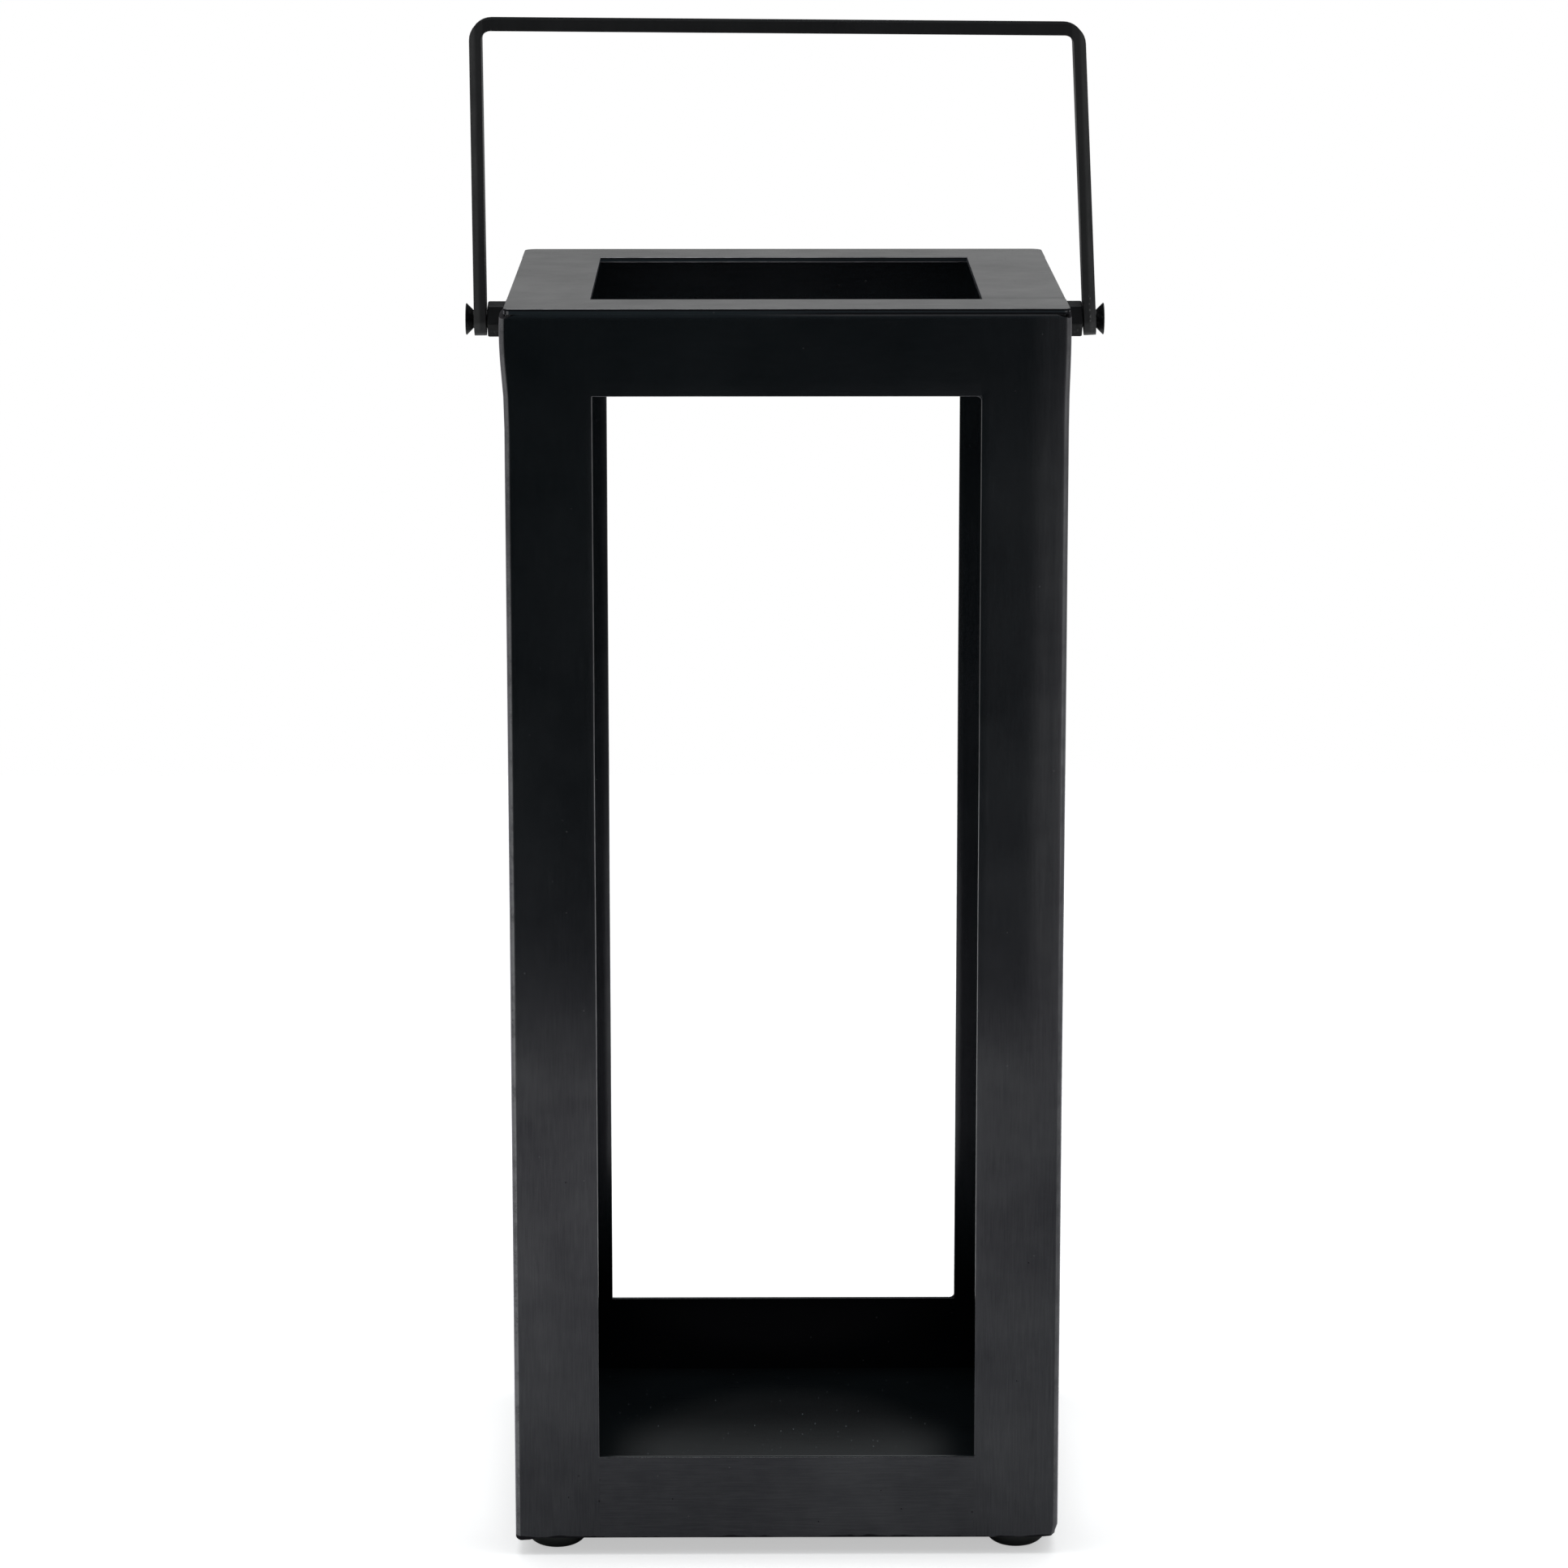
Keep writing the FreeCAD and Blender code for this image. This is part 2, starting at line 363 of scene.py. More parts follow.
@dataclass(frozen=True)
class Finish:
    """A named finish that draws its material in a graph of its own."""

    name: str

    @cached_property
    def graph(self) -> Graph:
        """The graph of the finish's material."""
        return Graph.named(self.name)


@dataclass(frozen=True)
class BrushedSteel(Finish):
    """Blackened and waxed sheet, brushed one way, with cloudy patches, fine scratches, edges worn to bare
    metal with painted highlights, and painted shade on the inner faces low in the frame.
    """

    grain: Axis
    rim: float
    steel: Colour = (0.0026, 0.0056, 0.0066)
    # Bare steel for worn edges, and the colour of the painted highlights.
    bare: Colour = (0.17, 0.17, 0.175)
    sheen: Colour = (0.93, 0.86, 1.0)
    roughness: float = 0.21
    smoothest: float = 0.12
    relief: float = 0.010 * MM
    grain_per_metre: float = 2300.0
    run_per_metre: float = 85.0
    cloud_per_metre: float = 15.0
    weld_pits: Dots = Dots(430.0, 0.17, 0.55)
    weld_line: float = 62.0 * MM
    weld_width: Step = (1.4 * MM, 0.7 * MM)
    weld_height: Step = (36.0 * MM, 34.0 * MM)
    stray_pits: Dots = Dots(290.0, 0.085, 0.06)
    specks: Dots = Dots(210.0, 0.075, 0.16)
    foot: float = 6.0 * MM
    ragged_depth: float = 5.0 * MM
    ragged_level: float = 0.42
    ragged_edge: Step = (0.25 * MM, -0.05 * MM)
    # Painted shade on the inner faces: how far inward and how low it reaches.
    soot_inward: Step = (-10.0 * MM, -40.0 * MM)
    soot_height: Step = (70.0 * MM, 36.0 * MM)
    right_half: Step = (-20.0 * MM, 20.0 * MM)
    # Painted highlights: the edges lighter towards the left, and a thin light line under the top seam.
    left_post: Step = (70.0 * MM, -70.0 * MM)
    lip_from: Step = (0.6 * MM, 0.35 * MM)
    lip_until: Step = (-0.05 * MM, 0.0)
    ground_band: Step = (2.0 * MM, -0.6 * MM)
    raw_ends: bool = False
    cut_top: float | None = None
    cut_line: Step = (0.85 * MM, 0.55 * MM)
    cut_foot: Step = (1.0 * MM, 1.25 * MM)
    scars: float = 0.0

    def streaks(self, fine: float, long: float, detail: float) -> Value:
        """Noise drawn out along the grain, as fine and as long as a share of the brushing."""
        across, along = self.grain_per_metre * fine, self.run_per_metre * long
        return self.graph.noise([along if axis is self.grain else across for axis in Axis], detail, 0.6)

    def pits(self) -> Value:
        """Pinholes in the ground welds between the posts and the bottom rails, and a few elsewhere.

        Returns:
            1 in the pits and 0 elsewhere.
        """
        graph = self.graph
        off_line = [abs(abs(graph.at(axis)) - self.weld_line) for axis in (Axis.X, Axis.Y)]
        near_line = off_line[0].lowest(off_line[1]).ease(*self.weld_width)
        welds = graph.dots(self.weld_pits) * near_line * graph.at(Axis.Z).ease(*self.weld_height)
        return welds.highest(graph.dots(self.stray_pits))

    def raw(self) -> Value:
        """Where the sheet is left black and rough: a ragged lower edge, hidden ends and cut edges.

        Returns:
            1 on raw sheet and 0 elsewhere.
        """
        graph = self.graph
        height = graph.at(Axis.Z)
        ragged = graph.noise(55.0, detail=3.0, rough=0.65)
        above = height - self.foot - (ragged - self.ragged_level) * self.ragged_depth
        raw = above.ease(*self.ragged_edge)
        if self.raw_ends:
            raw = raw.highest(graph.faces(Axis.Z).ease(0.6, 0.9))
        if self.cut_top is not None:
            below = self.cut_top - height
            upright = abs(graph.faces(Axis.Z)).ease(0.3, 0.1)
            lower = below.ease(*self.cut_foot) * graph.at(Axis.X).ease(*self.right_half)
            lines = below.ease(*self.cut_line).highest(lower)
            raw = raw.highest(upright * lines.highest(graph.turned_edges(0.1, 0.25)))
        return raw

    def soot(self) -> Value:
        """Painted shade on the inner faces low in the frame, round the floor plate: darker and with less
        reflection.

        Returns:
            1 where the painted shade darkens the faces and takes off the coat, and 0 elsewhere.
        """
        outward = [self.graph.at(axis) * self.graph.faces(axis) for axis in (Axis.X, Axis.Y)]
        inner = (outward[0] + outward[1]).ease(*self.soot_inward)
        return inner * self.graph.at(Axis.Z).ease(*self.soot_height)

    def worn(self) -> Value:
        """Where bends, broken edges and specks are worn to bare metal, with painted highlights: the edges
        painted lighter on the left than on the right, and a thin light line under the top seam on the right.

        Returns:
            1 on bare metal and painted highlights, and 0 elsewhere.
        """
        graph = self.graph
        rubbed = 0.5 + graph.noise(120.0, detail=4.0, rough=0.7).ease(0.30, 0.62) * 0.5
        # Painted highlight: the edges lighter on the left, fading to 0.55 of it on the right.
        left = 0.55 + graph.at(Axis.X).ease(*self.left_post) * 0.45
        below = self.rim - graph.at(Axis.Z)
        # Painted highlight: a thin light line just under the top seam, on the right half.
        lip = below.ease(*self.lip_from) * below.ease(*self.lip_until)
        lip = lip * graph.at(Axis.X).ease(*self.right_half) * 0.3
        spots = (graph.dots(self.specks) * 0.35).highest(lip)
        return (graph.turned_edges(0.015, 0.07) * rubbed * left + spots).lowest(1.0)

    def ground(self) -> Value:
        """1 at the top edge, where the weld was ground flush and dull, fading out below it."""
        upright = abs(self.graph.faces(Axis.Z)).ease(0.5, 0.2)
        return (self.rim - self.graph.at(Axis.Z)).ease(*self.ground_band) * upright

    def material(self) -> bpy.types.Material:
        """Builds the finish.

        Returns:
            The material.
        """
        graph = self.graph
        fine = self.streaks(1.0, 1.0, 3.0)
        hair = self.streaks(0.6, 1.0 / 3.0, 1.0).ease(0.62, 0.74)
        scratch = self.streaks(0.4, 0.35, 2.0).ease(0.66, 0.74) * self.scars
        cloud = graph.noise(self.cloud_per_metre, detail=4.0, rough=0.6)
        smoke = graph.noise(self.cloud_per_metre * 5, detail=3.0, rough=0.6)
        brush = 1.0 - 0.5 * self.scars
        ground, pits, raw = self.ground(), self.pits(), self.raw()
        whole = 1.0 - raw
        worn = self.worn() * whole
        # Painted shade: the inner faces low in the frame get a darker tone and less coat.
        unshaded = 1.0 - self.soot() * 0.8
        tone = 0.5 + fine * 0.2 + cloud * 0.8 + ground * 1.6 - pits * 0.8
        tone = tone.highest(0.1) * (0.15 + whole * 0.85) * unshaded
        rough = self.roughness + (fine - 0.5) * (0.12 * brush) + (cloud - 0.5) * 0.16 + pits * 0.3
        rough = rough + worn * 0.08 + raw * 0.6 + ground * 0.2 + scratch * 0.06
        wax = 0.5 + (fine - 0.5) * (0.7 * brush) + hair * 0.10 + (cloud - 0.5) * 1.4 + (smoke - 0.5) * 0.45
        wax = (wax - pits - scratch * 0.12).highest(0.0).lowest(1.0)
        height = fine * 0.5 + hair * 0.3 - pits * 6.0 - scratch * 1.2
        return graph.finish(
            {
                "Base Color": graph.mix(worn, graph.scaled(self.steel, tone), self.bare),
                "Metallic": worn,
                "Roughness": rough.highest(self.smoothest),
                "Specular IOR Level": 0.30,
                "Specular Tint": graph.opaque(self.sheen),
                "Coat Weight": wax * whole * unshaded * (1.0 - worn * 0.6),
                "Coat Roughness": 0.13,
                "Coat IOR": 1.5,
                "Normal": graph.bump(height, self.relief),
            }
        )


@dataclass(frozen=True)
class FloorSteel(Finish):
    """The blackened floor plate: waxed, with painted shade near the walls that dims its reflection and
    specks, and dusted with fine specks.
    """

    name: str = "floor_plate_finish"
    steel: Colour = (0.0018, 0.0028, 0.0034)
    dust: Colour = (0.24, 0.27, 0.29)
    half_across: float = 66.0 * MM
    half_along: float = 80.0 * MM
    # Where the painted shade round the plate begins and ends, as a share of the way out from the middle.
    waxed: Step = (0.88, 0.32)
    brush_per_metre: Triple = (70.0, 1500.0, 1500.0)
    fine_specks: Dots = Dots(650.0, 0.17, 0.20, 4.0)
    coarse_specks: Dots = Dots(230.0, 0.07, 0.12, 3.0)
    relief: float = 0.010 * MM

    def material(self) -> bpy.types.Material:
        """Builds the finish.

        Returns:
            The material.
        """
        graph = self.graph
        grain = graph.noise(self.brush_per_metre, detail=3.0, rough=0.6)
        cloud = graph.noise(30.0, detail=4.0, rough=0.6)
        patch = graph.noise(45.0).ease(0.40, 0.58)
        fine = graph.dots(self.fine_specks) * (0.4 + patch * 0.6)
        across = graph.at(Axis.X) * (1.0 / self.half_across)
        along = graph.at(Axis.Y) * (1.0 / self.half_along)
        # Painted shade near the walls: 1 in the middle of the plate, 0 at its rim; it cuts the coat and dims
        # the specks there.
        clear = (across * across + along * along).ease(*self.waxed)
        dust = (fine * 0.35 + graph.dots(self.coarse_specks) * 0.6).lowest(1.0) * (0.3 + clear * 0.7)
        wax = 0.92 + (cloud - 0.5) * 0.5 + (grain - 0.5) * 0.2 - dust * 0.4
        return graph.finish(
            {
                "Base Color": graph.mix(dust, graph.scaled(self.steel, 0.6 + cloud * 0.8), self.dust),
                "Roughness": 0.30 + (cloud - 0.5) * 0.16 + (grain - 0.5) * 0.08 + dust * 0.3,
                "Specular IOR Level": 0.06,
                "Coat Weight": wax.highest(0.0).lowest(1.0) * (0.05 + clear * 0.95),
                "Coat Roughness": 0.28,
                "Coat IOR": 1.62,
                "Normal": graph.bump(grain * 0.4 + dust * 2.0, self.relief),
            }
        )


@dataclass(frozen=True)
class SatinCoat(Finish):
    """Black satin coat on bar and turned parts, rubbed to a lighter tone on its edges."""

    roughness: float
    edge_wear: float
    flecks: Dots
    sheen: float
    coat: Colour = (0.0070, 0.0075, 0.0084)
    # Bare steel for worn edges and flecks, and the colour of the handle's painted sheen.
    bare: Colour = (0.13, 0.13, 0.13)
    drawn_per_metre: Triple = (700.0, 700.0, 60.0)
    relief: float = 0.012 * MM
    # The colour of the matte copy on what faces up, a painted shade.
    dull: Colour = (0.0125, 0.0130, 0.0135)
    dull_top: bool = False

    def material(self) -> bpy.types.Material:
        """Builds the finish; if there is a shaded top, what faces up gets a matte copy without reflection, a
        painted shade.

        Returns:
            The material.
        """
        graph = self.graph
        skin = graph.noise(900.0, detail=3.0, rough=0.6)
        cloud = graph.noise(70.0, detail=3.0, rough=0.6)
        drawn = graph.noise(self.drawn_per_metre)
        edge = graph.turned_edges(0.05, 0.25) * graph.noise(260.0, detail=4.0, rough=0.75).ease(0.50, 0.66)
        flecks = graph.dots(self.flecks)
        # Worn edges and flecks, and on the handle the painted sheen of its legs.
        worn = (edge * self.edge_wear + flecks * 0.5 + self.rubbed()).lowest(1.0)
        black = graph.scaled(self.coat, 0.6 + cloud * 0.5 + drawn * 0.3)
        normal = graph.bump(skin * 0.5 + drawn * 0.5 - flecks, self.relief)
        satin = {
            "Base Color": graph.mix(worn, black, self.bare),
            "Roughness": self.roughness + (cloud - 0.5) * 0.18 + (drawn - 0.5) * 0.14 - worn * 0.05,
            "Specular IOR Level": self.sheen,
            "Normal": normal,
        }
        if not self.dull_top:
            return graph.finish(satin)
        # Painted shade: what faces up gets a matte copy that does not catch the overhead light.
        top_shade_colour = graph.scaled(self.dull, 0.7 + cloud * 0.4 + skin * 0.2)
        dull = {"Base Color": top_shade_colour, "Roughness": 0.8, "Specular IOR Level": 0.0, "Normal": normal}
        layers = [graph.node("ShaderNodeBsdfPrincipled", inputs=layer) for layer in (satin, dull)]
        upward = graph.faces(Axis.Z).ease(0.45, 0.85)
        return graph.close(graph.node("ShaderNodeMixShader", inputs={0: upward, 1: layers[0], 2: layers[1]}))

    def rubbed(self) -> Value | float:
        """Where the coat is painted lighter beyond its edges and flecks: nowhere on a turned part."""
        return 0.0


@dataclass(frozen=True, kw_only=True)
class HandleCoat(SatinCoat):
    """The handle's coat, with a painted sheen that makes its legs lighter than the bar, most on their outer
    half, and nicked above the right eye.
    """

    leg: float
    pivot: float
    left_slope: float
    right_slope: float
    right_half: Step = (-1.0 * MM, 1.0 * MM)
    leg_width: Step = (2.8 * MM, 2.2 * MM)
    outer_half: Step = (-0.5 * MM, 0.7 * MM)
    smear_per_metre: Triple = (420.0, 420.0, 80.0)
    nick_row: float = 0.1 * MM
    nick_width: Step = (0.40 * MM, 0.20 * MM)
    nick_foot: Step = (-1.0 * MM, 0.0)
    nick_head: Step = (9.0 * MM, 8.0 * MM)
    nick_per_metre: Triple = (900.0, 900.0, 700.0)

    def rubbed(self) -> Value:
        """Where the coat is painted lighter: a painted sheen on the legs, in upright smears, and a row of
        small nicks.

        Returns:
            How much of the coat gives way to bare steel, for the painted sheen and the nicks.
        """
        graph = self.graph
        across = graph.at(Axis.X)
        rise = graph.at(Axis.Z) - self.pivot
        right = across.ease(*self.right_half)
        slope = self.left_slope + right * (self.right_slope - self.left_slope)
        outward = abs(across) - self.leg - rise * slope
        smear = graph.noise(self.smear_per_metre, detail=3.0)
        # Painted sheen: the legs lighter than the bar, most on their outer half.
        leg_sheen = abs(outward).ease(*self.leg_width) * 0.10 + outward.ease(*self.outer_half) * smear * 0.55
        row = abs(outward - self.nick_row).ease(*self.nick_width) * right
        span = rise.ease(*self.nick_foot) * rise.ease(*self.nick_head)
        nicks = graph.noise(self.nick_per_metre, detail=1.0).ease(0.54, 0.60)
        return (leg_sheen + nicks * row * span) * abs(graph.faces(Axis.Y)).ease(0.6, 0.9)


@dataclass(frozen=True)
class FootRubber(Finish):
    """Soft moulded rubber with a bloom of dust low on the dome."""

    name: str = "foot_rubber_finish"
    body: Colour = (0.0080, 0.0092, 0.0082)
    dust: Colour = (0.035, 0.036, 0.033)
    dusty_height: Step = (5.0 * MM, 0.4 * MM)
    relief: float = 0.02 * MM

    def material(self) -> bpy.types.Material:
        """Builds the finish.

        Returns:
            The material.
        """
        graph = self.graph
        skin = graph.noise(1400.0, detail=3.0, rough=0.6)
        bloom = graph.noise(220.0, detail=4.0, rough=0.65)
        low = graph.at(Axis.Z).ease(*self.dusty_height)
        return graph.finish(
            {
                "Base Color": graph.mix(bloom.ease(0.52, 0.78) * (0.25 + low * 0.5), self.body, self.dust),
                "Roughness": 0.58 + (bloom - 0.5) * 0.2,
                "Specular IOR Level": 0.35,
                "Normal": graph.bump(skin, self.relief),
            }
        )


class Kind(Enum):
    """What a selection is made of."""

    EDGE = 0
    FACE = 1


class Bench:
    """The tools that shape one piece by hand."""

    smooth_angle: ClassVar[float] = math.radians(35)
    sharp_angle: ClassVar[float] = math.radians(50)
    flat_angle: ClassVar[float] = math.radians(0.5)

    def __init__(self, piece: bpy.types.Object) -> None:
        """Takes up a mesh object to shape."""
        self.piece = piece

    @staticmethod
    def clear() -> None:
        """Goes to object mode with nothing selected."""
        if bpy.context.mode != "OBJECT":
            bpy.ops.object.mode_set(mode="OBJECT")
        bpy.ops.object.select_all(action="DESELECT")

    @classmethod
    def take(cls, name: str) -> "Bench":
        """Names the primitive that was just added and fixes its place in its mesh.

        Args:
            name: The piece's name.

        Returns:
            The piece on the bench.
        """
        piece = bpy.context.object
        piece.name = name
        piece.data.name = name
        bpy.ops.object.transform_apply(location=True, rotation=True, scale=True)
        return cls(piece)

    @classmethod
    def block(cls, name: str, one: Vector, other: Vector) -> "Bench":
        """A block between two opposite corners.

        Args:
            name: The piece's name.
            one: One corner.
            other: The opposite corner.

        Returns:
            The piece on the bench.
        """
        cls.clear()
        bpy.ops.mesh.primitive_cube_add(size=1.0, location=(one + other) / 2)
        bpy.context.object.scale = [abs(a - b) for a, b in zip(one, other)]
        return cls.take(name)

    @classmethod
    def rod(
        cls, name: str, sides: int, radius: float, start: Vector, length: float, turn: float = 0.0
    ) -> "Bench":
        """A round or many-sided rod along X.

        Args:
            name: The piece's name.
            sides: How many sides it has.
            radius: The radius to its corners.
            start: The middle of its end with the lower X.
            length: Its length.
            turn: A turn about X, in radians.

        Returns:
            The piece on the bench.
        """
        cls.clear()
        bpy.ops.mesh.primitive_cylinder_add(vertices=sides, radius=radius, depth=length)
        along_x = Matrix.Rotation(turn, 4, "X") @ Matrix.Rotation(math.pi / 2, 4, "Y")
        middle = start + Axis.X.vector * (length / 2)
        bpy.context.object.matrix_world = Matrix.Translation(middle) @ along_x
        return cls.take(name)

    def copy(self, name: str, change: Matrix) -> "Bench":
        """Makes a copy with a mesh of its own, moved, turned or mirrored.

        Args:
            name: The copy's name.
            change: The move, turn or mirror.

        Returns:
            The copy on the bench.
        """
        self.hold()
        bpy.ops.object.duplicate(linked=False)
        bpy.context.object.matrix_world = change
        return self.take(name)

    def discard(self) -> None:
        """Removes the piece and its mesh."""
        mesh = self.piece.data
        bpy.data.objects.remove(self.piece)
        bpy.data.meshes.remove(mesh)

    def hold(self) -> None:
        """Selects this piece alone, in object mode."""
        self.clear()
        self.piece.select_set(True)
        bpy.context.view_layer.objects.active = self.piece

    def edit(self) -> None:
        """Goes into edit mode on this piece alone."""
        self.hold()
        bpy.ops.object.mode_set(mode="EDIT")

    def edit_all(self) -> None:
        """Goes into edit mode with the whole piece selected."""
        self.edit()
        bpy.ops.mesh.select_all(action="SELECT")

    def select(self, kind: Kind, test: Test) -> None:
        """Selects the edges or faces that pass a test and stays in edit mode.

        Args:
            kind: What is selected.
            test: Takes both ends of an edge, or a face's centre and its normal.
        """
        self.edit()
        bpy.ops.mesh.select_mode(type=kind.name)
        bpy.ops.mesh.select_all(action="DESELECT")
        bpy.ops.object.mode_set(mode="OBJECT")
        mesh = self.piece.data
        if kind is Kind.EDGE:
            for edge in mesh.edges:
                edge.select = test(*(mesh.vertices[i].co for i in edge.vertices))
        else:
            for face in mesh.polygons:
                face.select = test(face.center, face.normal)
        bpy.ops.object.mode_set(mode="EDIT")

    def bevel(self, test: Test, width: float, segments: int) -> None:
        """Rounds the edges that pass a test.

        Args:
            test: Takes both ends of an edge.
            width: The rounding's width on each face.
            segments: Its number of facets.
        """
        self.select(Kind.EDGE, test)
        bpy.ops.mesh.bevel(offset=width, offset_type="OFFSET", segments=segments, profile=0.5, affect="EDGES")
        self.clear()

    def break_edges(self, width: float, segments: int) -> None:
        """Rounds every sharp edge of the piece by a width, in a number of facets."""
        angle = self.sharp_angle
        self.modify("BEVEL", limit_method="ANGLE", angle_limit=angle, width=width, segments=segments)

    @staticmethod
    def extrude(move: Vector, scale: Sequence[float] | None = None) -> None:
        """Extrudes what is selected and can resize what comes out.

        Args:
            move: How far it moves.
            scale: A resize about its middle.
        """
        bpy.ops.mesh.extrude_region_move(TRANSFORM_OT_translate={"value": move})
        if scale is not None:
            bpy.ops.transform.resize(value=scale)

    def pull(self, test: Test, move: Vector, scale: Sequence[float] | None = None) -> None:
        """Extrudes the faces that pass a test.

        Args:
            test: Takes a face's centre and its normal.
            move: How far the faces move.
            scale: A resize of the new faces about their middle.
        """
        self.select(Kind.FACE, test)
        self.extrude(move, scale)
        self.clear()

    def slice(self, axis: Axis, places: Iterable[float]) -> None:
        """Cuts flat rows of edges across the piece.

        Args:
            axis: The direction square to the cuts.
            places: Where they lie along it.
        """
        self.edit()
        for place in places:
            bpy.ops.mesh.select_all(action="SELECT")
            bpy.ops.mesh.bisect(plane_co=axis.vector * place, plane_no=axis.vector)
        self.clear()

    def merge_flat(self) -> None:
        """Takes out edges between faces that lie in one plane."""
        self.edit_all()
        bpy.ops.mesh.dissolve_limited(angle_limit=self.flat_angle)
        self.clear()

    def merge(self, distance: float) -> None:
        """Joins points that lie nearer than a distance."""
        self.edit_all()
        bpy.ops.mesh.remove_doubles(threshold=distance)
        self.clear()

    def nudge(self, centre: Vector, reach: Vector, move: Vector) -> None:
        """Moves the surface near a point, fading out to an egg-shaped limit.

        Args:
            centre: Where the move is whole.
            reach: The limit's half size along each axis.
            move: The whole move.
        """
        self.clear()
        for point in self.piece.data.vertices:
            away = sum(((a - c) / r) ** 2 for a, c, r in zip(point.co, centre, reach))
            if away < 1.0:
                point.co += move * (1.0 - away) ** 2

    def modify(self, kind: str, **settings: object) -> None:
        """Adds a modifier, sets it and applies it.

        Args:
            kind: The modifier's type.
            **settings: Its properties.
        """
        self.hold()
        modifier = self.piece.modifiers.new(kind.title(), kind)
        for name, value in settings.items():
            setattr(modifier, name, value)
        bpy.ops.object.modifier_apply(modifier=modifier.name)

    def ripple(self, axis: Axis, depth: float, waves: "Waves") -> None:
        """Lets the sheet wander gently along one axis.

        Args:
            axis: The direction of the move.
            depth: The largest move, with its sign.
            waves: The unevenness that all neighbours share.
        """
        self.modify(
            "DISPLACE",
            texture=waves.texture,
            texture_coords="LOCAL",
            direction=axis.name,
            mid_level=0.0,
            strength=depth,
        )

    def grind(self, weight: Callable[[Vector, Vector], float], width: float, segments: int) -> None:
        """Rounds edges by a width that changes along them.

        Args:
            weight: Takes both ends of an edge and gives its share of the width.
            width: The whole width.
            segments: The number of facets.
        """
        self.clear()
        mesh = self.piece.data
        weights = mesh.attributes.new("bevel_weight_edge", "FLOAT", "EDGE")
        for edge in mesh.edges:
            weights.data[edge.index].value = weight(*(mesh.vertices[i].co for i in edge.vertices))
        self.modify("BEVEL", limit_method="WEIGHT", width=width, segments=segments, profile=0.5)
        left = self.piece.data.attributes.get("bevel_weight_edge")
        if left is not None:
            self.piece.data.attributes.remove(left)

    def carve(self, cutter: "Bench") -> None:
        """Cuts another piece's shape out of this one and removes that piece."""
        self.modify("BOOLEAN", operation="DIFFERENCE", solver="EXACT", object=cutter.piece)
        cutter.discard()

    def dress(self, body: str, slot: Slot, material: bpy.types.Material, *nodes: str) -> None:
        """Smooths the piece, gives it its finish and sets it on its body.

        Args:
            body: The body that it moves with.
            slot: The record's slot of its finish. Not used.
            material: Its finish.
            *nodes: The CAD nodes that it stands for.
        """
        self.merge(NEAR / 2)
        self.edit_all()
        bpy.ops.mesh.dissolve_degenerate(threshold=NEAR / 2)
        bpy.ops.mesh.select_all(action="SELECT")
        bpy.ops.mesh.normals_make_consistent(inside=False)
        self.hold()
        bpy.ops.object.shade_smooth_by_angle(angle=self.smooth_angle)
        self.modify("WEIGHTED_NORMAL", keep_sharp=True)
        self.piece.select_set(False)
        self.piece.data.materials.clear()
        self.piece.data.materials.append(material)
        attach(self.piece, body)
        if nodes:
            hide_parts(*nodes)
        LOG.info("%s: %d faces on %s", self.piece.name, len(self.piece.data.polygons), body)


@dataclass
class Waves:
    """The slow unevenness of the welded sheet, one pattern for all neighbours."""

    size: float = 55.0 * MM
    texture: bpy.types.Texture = field(init=False)

    def __post_init__(self) -> None:
        """Makes the texture that the moves read."""
        self.texture = bpy.data.textures.new("sheet_waves", "CLOUDS")
        self.texture.noise_scale = self.size
        self.texture.noise_depth = 1


def spaced(start: float, end: float, step: float) -> list[float]:
    """Evenly spaced places between two ends, without the ends, no further apart than a step."""
    count = max(1, math.ceil((end - start) / step))
    return [start + (end - start) * i / count for i in range(1, count)]


def close(one: float, other: float) -> bool:
    """Whether two lengths are the same for a selection."""
    return abs(one - other) < NEAR


def lies(a: Vector, b: Vector, axis: Axis, place: float) -> bool:
    """Whether both ends of an edge lie at a place along an axis."""
    return close(a[axis.value], place) and close(b[axis.value], place)


def square_to(a: Vector, b: Vector, axis: Axis) -> bool:
    """Whether an edge runs square to an axis."""
    return close(a[axis.value], b[axis.value])


@dataclass(frozen=True)
class Dent:
    """A soft move of a front post beside its outer edge, in millimetres.

    Attributes:
        rise: Its height as a share of the post's, 0 at the foot and 1 at the top.
        offset: A step from the outer edge at that height.
        reach: The half size of its egg-shaped limit.
        move: The whole move.
    """

    rise: float
    offset: Triple
    reach: Triple
    move: Triple


